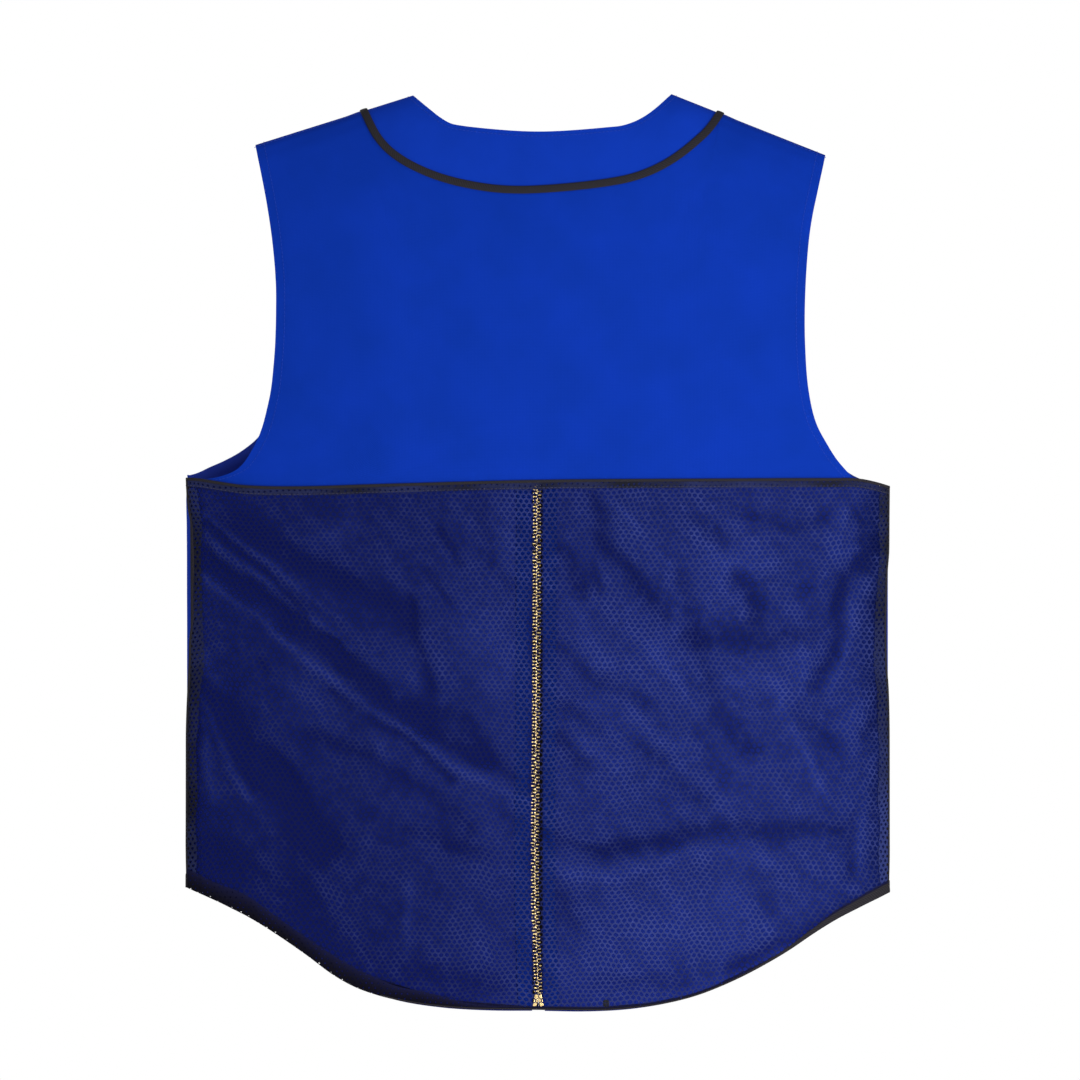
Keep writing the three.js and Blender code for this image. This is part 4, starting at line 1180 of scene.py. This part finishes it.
# Spun polyester sewing thread: matt, with the slant of its twist.
def thread_material(name, dark, light):
    """Sewing thread between two tints."""
    material, tree, shader = new_material(name, Roughness=0.7, Specular_IOR_Level=0.15)
    place = put(tree, "ShaderNodeTexCoord").outputs["Object"]
    twist = put(tree, "ShaderNodeTexWave", {"Vector": place, "Scale": WAVE_LENGTH / TWIST},
                bands_direction="DIAGONAL")
    tint = put(tree, "ShaderNodeMix", {0: twist.outputs["Fac"], 6: linear(dark), 7: linear(light)},
               data_type="RGBA")
    tree.links.new(tint.outputs[2], shader["Base Color"])
    return material


pale_thread = thread_material("Sewing thread, pale grey", "#20202f", "#303046")
blue_thread = thread_material("Sewing thread, blue", "#07267d", "#0c2e8c")

seam_line = inset_line(strip_points["yoke_seam_band"], BACK, "foot", SEAM_INSET)
seam_stitches = sew("seam_stitches", [seam_line], pale_thread)
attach(seam_stitches, "root")
yoke_lines = [inset_line(yoke_points, BACK, edge, ARMHOLE_INSET) for edge in ("left", "right")]
path, outs = inset_line(yoke_points, BACK, "top", SHOULDER_INSET)
yoke_lines += [(path[end], outs[end]) for end in (path[:, 0] < -SHOULDER_X, path[:, 0] > SHOULDER_X)]
yoke_stitches = sew("yoke_stitches", yoke_lines, blue_thread)
band_line = inset_line(neck_points, BACK, "top", NECK_INSET)
band_stitches = {"back": sew("back_neck_stitches", [band_line], blue_thread)}
front_stitches = {}
for hand, inner in (("left", "right"), ("right", "left")):
    band_line = inset_line(front_band_points[hand], FRONT, inner, NECK_INSET)
    band_stitches[hand] = sew(f"{hand}_neck_stitches", [band_line], blue_thread)
    path, outs = inset_line(front_points[hand], FRONT, hand, ARMHOLE_INSET)
    armhole = path[:, 2] > ARMHOLE_END_Z
    front_lines = [(path[armhole], outs[armhole]), inset_line(front_points[hand], FRONT, inner, ZIP_INSET),
                   inset_line(front_points[hand], FRONT, "foot", HEM_INSET)]
    front_stitches[hand] = sew(f"{hand}_front_stitches", front_lines, blue_thread)
for stitches in (yoke_stitches, *band_stitches.values(), *front_stitches.values()):
    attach(stitches, "root")

# A short bar of dark stitches near the foot of the net, right of the zip.
olive_thread = thread_material("Sewing thread, dark olive", "#0f0f08", "#1e1d10")
column = np.abs(net_points[-1, :, 0] - BARTACK_X).argmin()
rows = net_points[:, column, 2] < net_points[-1, column, 2] + BARTACK_TALL
outs = outward(net_points, BACK)[rows, column]
path = net_points[rows, column] + outs * BARTACK_OUT
bar_lines = [(path + np.array((k * BARTACK_STEP, 0, 0)), outs) for k in range(-3, 4)]
bartack = sew("bartack", bar_lines, olive_thread, BARTACK_PITCH)
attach(bartack, "root")

# Cut sizes
# Every panel's cut size, measured along the hanging cloth.
size, area = cut_size(yoke_points)
size, area = cut_size(neck_points)
size, area = cut_size(net_points)
for hand in ("left", "right"):
    size, area = cut_size(front_points[hand])
    size, area = cut_size(front_band_points[hand])
    size, area = cut_size(tape_points[hand])

# Floor, light and camera
# A pale round floor below the hanging vest, soft white light from all round with one lamp behind the vest
# on the right, one before it on the left and one by the camera, and a long lens straight behind the vest.
FLOOR_Z = -0.86
FLOOR_RADIUS = 1.4
PLASTER_CLOUD = 1 / 12       # size of the cloudiness in metres
FRAME_WIDE = 0.8478          # width of the picture at the vest
FRAME_MIDDLE = (0.00196, -0.02, -0.3509)
CAMERA_AWAY = 8.0
SENSOR = 36.0

# Pale plaster: almost white and dull, with a soft cloudiness.
plaster, tree, shader = new_material("Pale plaster", Roughness=0.9, Specular_IOR_Level=0.1)
place = put(tree, "ShaderNodeTexCoord").outputs["Object"]
cloud = put(tree, "ShaderNodeTexNoise", {"Vector": place, "Scale": 1 / PLASTER_CLOUD, "Detail": 4.0})
tint = put(tree, "ShaderNodeMix", {0: cloud.outputs["Fac"], 6: linear("#eeeeec"), 7: linear("#f7f7f5")},
           data_type="RGBA")
tree.links.new(tint.outputs[2], shader["Base Color"])
disc = bmesh.new()
bmesh.ops.create_circle(disc, cap_ends=True, radius=FLOOR_RADIUS, segments=96)
bmesh.ops.translate(disc, verts=disc.verts, vec=(0, 0, FLOOR_Z))
add_piece("floor", finished("floor", disc), plaster)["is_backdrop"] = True

scene = bpy.context.scene
scene.view_settings.view_transform = "Standard"
scene.world = bpy.data.worlds.new("Soft white surround")
scene.world.use_nodes = True
surround = scene.world.node_tree.nodes["Background"]
surround.inputs["Color"].default_value = (1, 1, 1, 1)
surround.inputs["Strength"].default_value = 1.0


def add_lamp(name, place, aim, size, power):
    """A square soft lamp that looks at a point."""
    lamp = bpy.data.lights.new(name, "AREA")
    lamp.size = size
    lamp.energy = power
    holder = bpy.data.objects.new(name, lamp)
    holder.location = place
    holder.rotation_euler = (Vector(aim) - Vector(place)).to_track_quat("-Z", "Y").to_euler()
    scene.collection.objects.link(holder)


add_lamp("back lamp", (0.65, -1.35, -0.5), FRAME_MIDDLE, 0.45, 26)
add_lamp("front lamp", (-1.2, 1.6, 0.2), (0, 0.05, -0.35), 0.9, 24)
add_lamp("lamp by the camera", (0.12, -7.6, -0.28), FRAME_MIDDLE, 0.25, 22)

lens = bpy.data.cameras.new("camera")
lens.sensor_width = SENSOR
lens.lens = SENSOR * CAMERA_AWAY / FRAME_WIDE
lens.clip_end = 50
camera = bpy.data.objects.new("camera", lens)
camera.location = Vector(FRAME_MIDDLE) - Vector((0, CAMERA_AWAY, 0))
camera.rotation_euler = (math.pi / 2, 0, 0)
scene.collection.objects.link(camera)
scene.camera = camera

# The bounds of everything shown in the scene, the floor aside.
low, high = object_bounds()
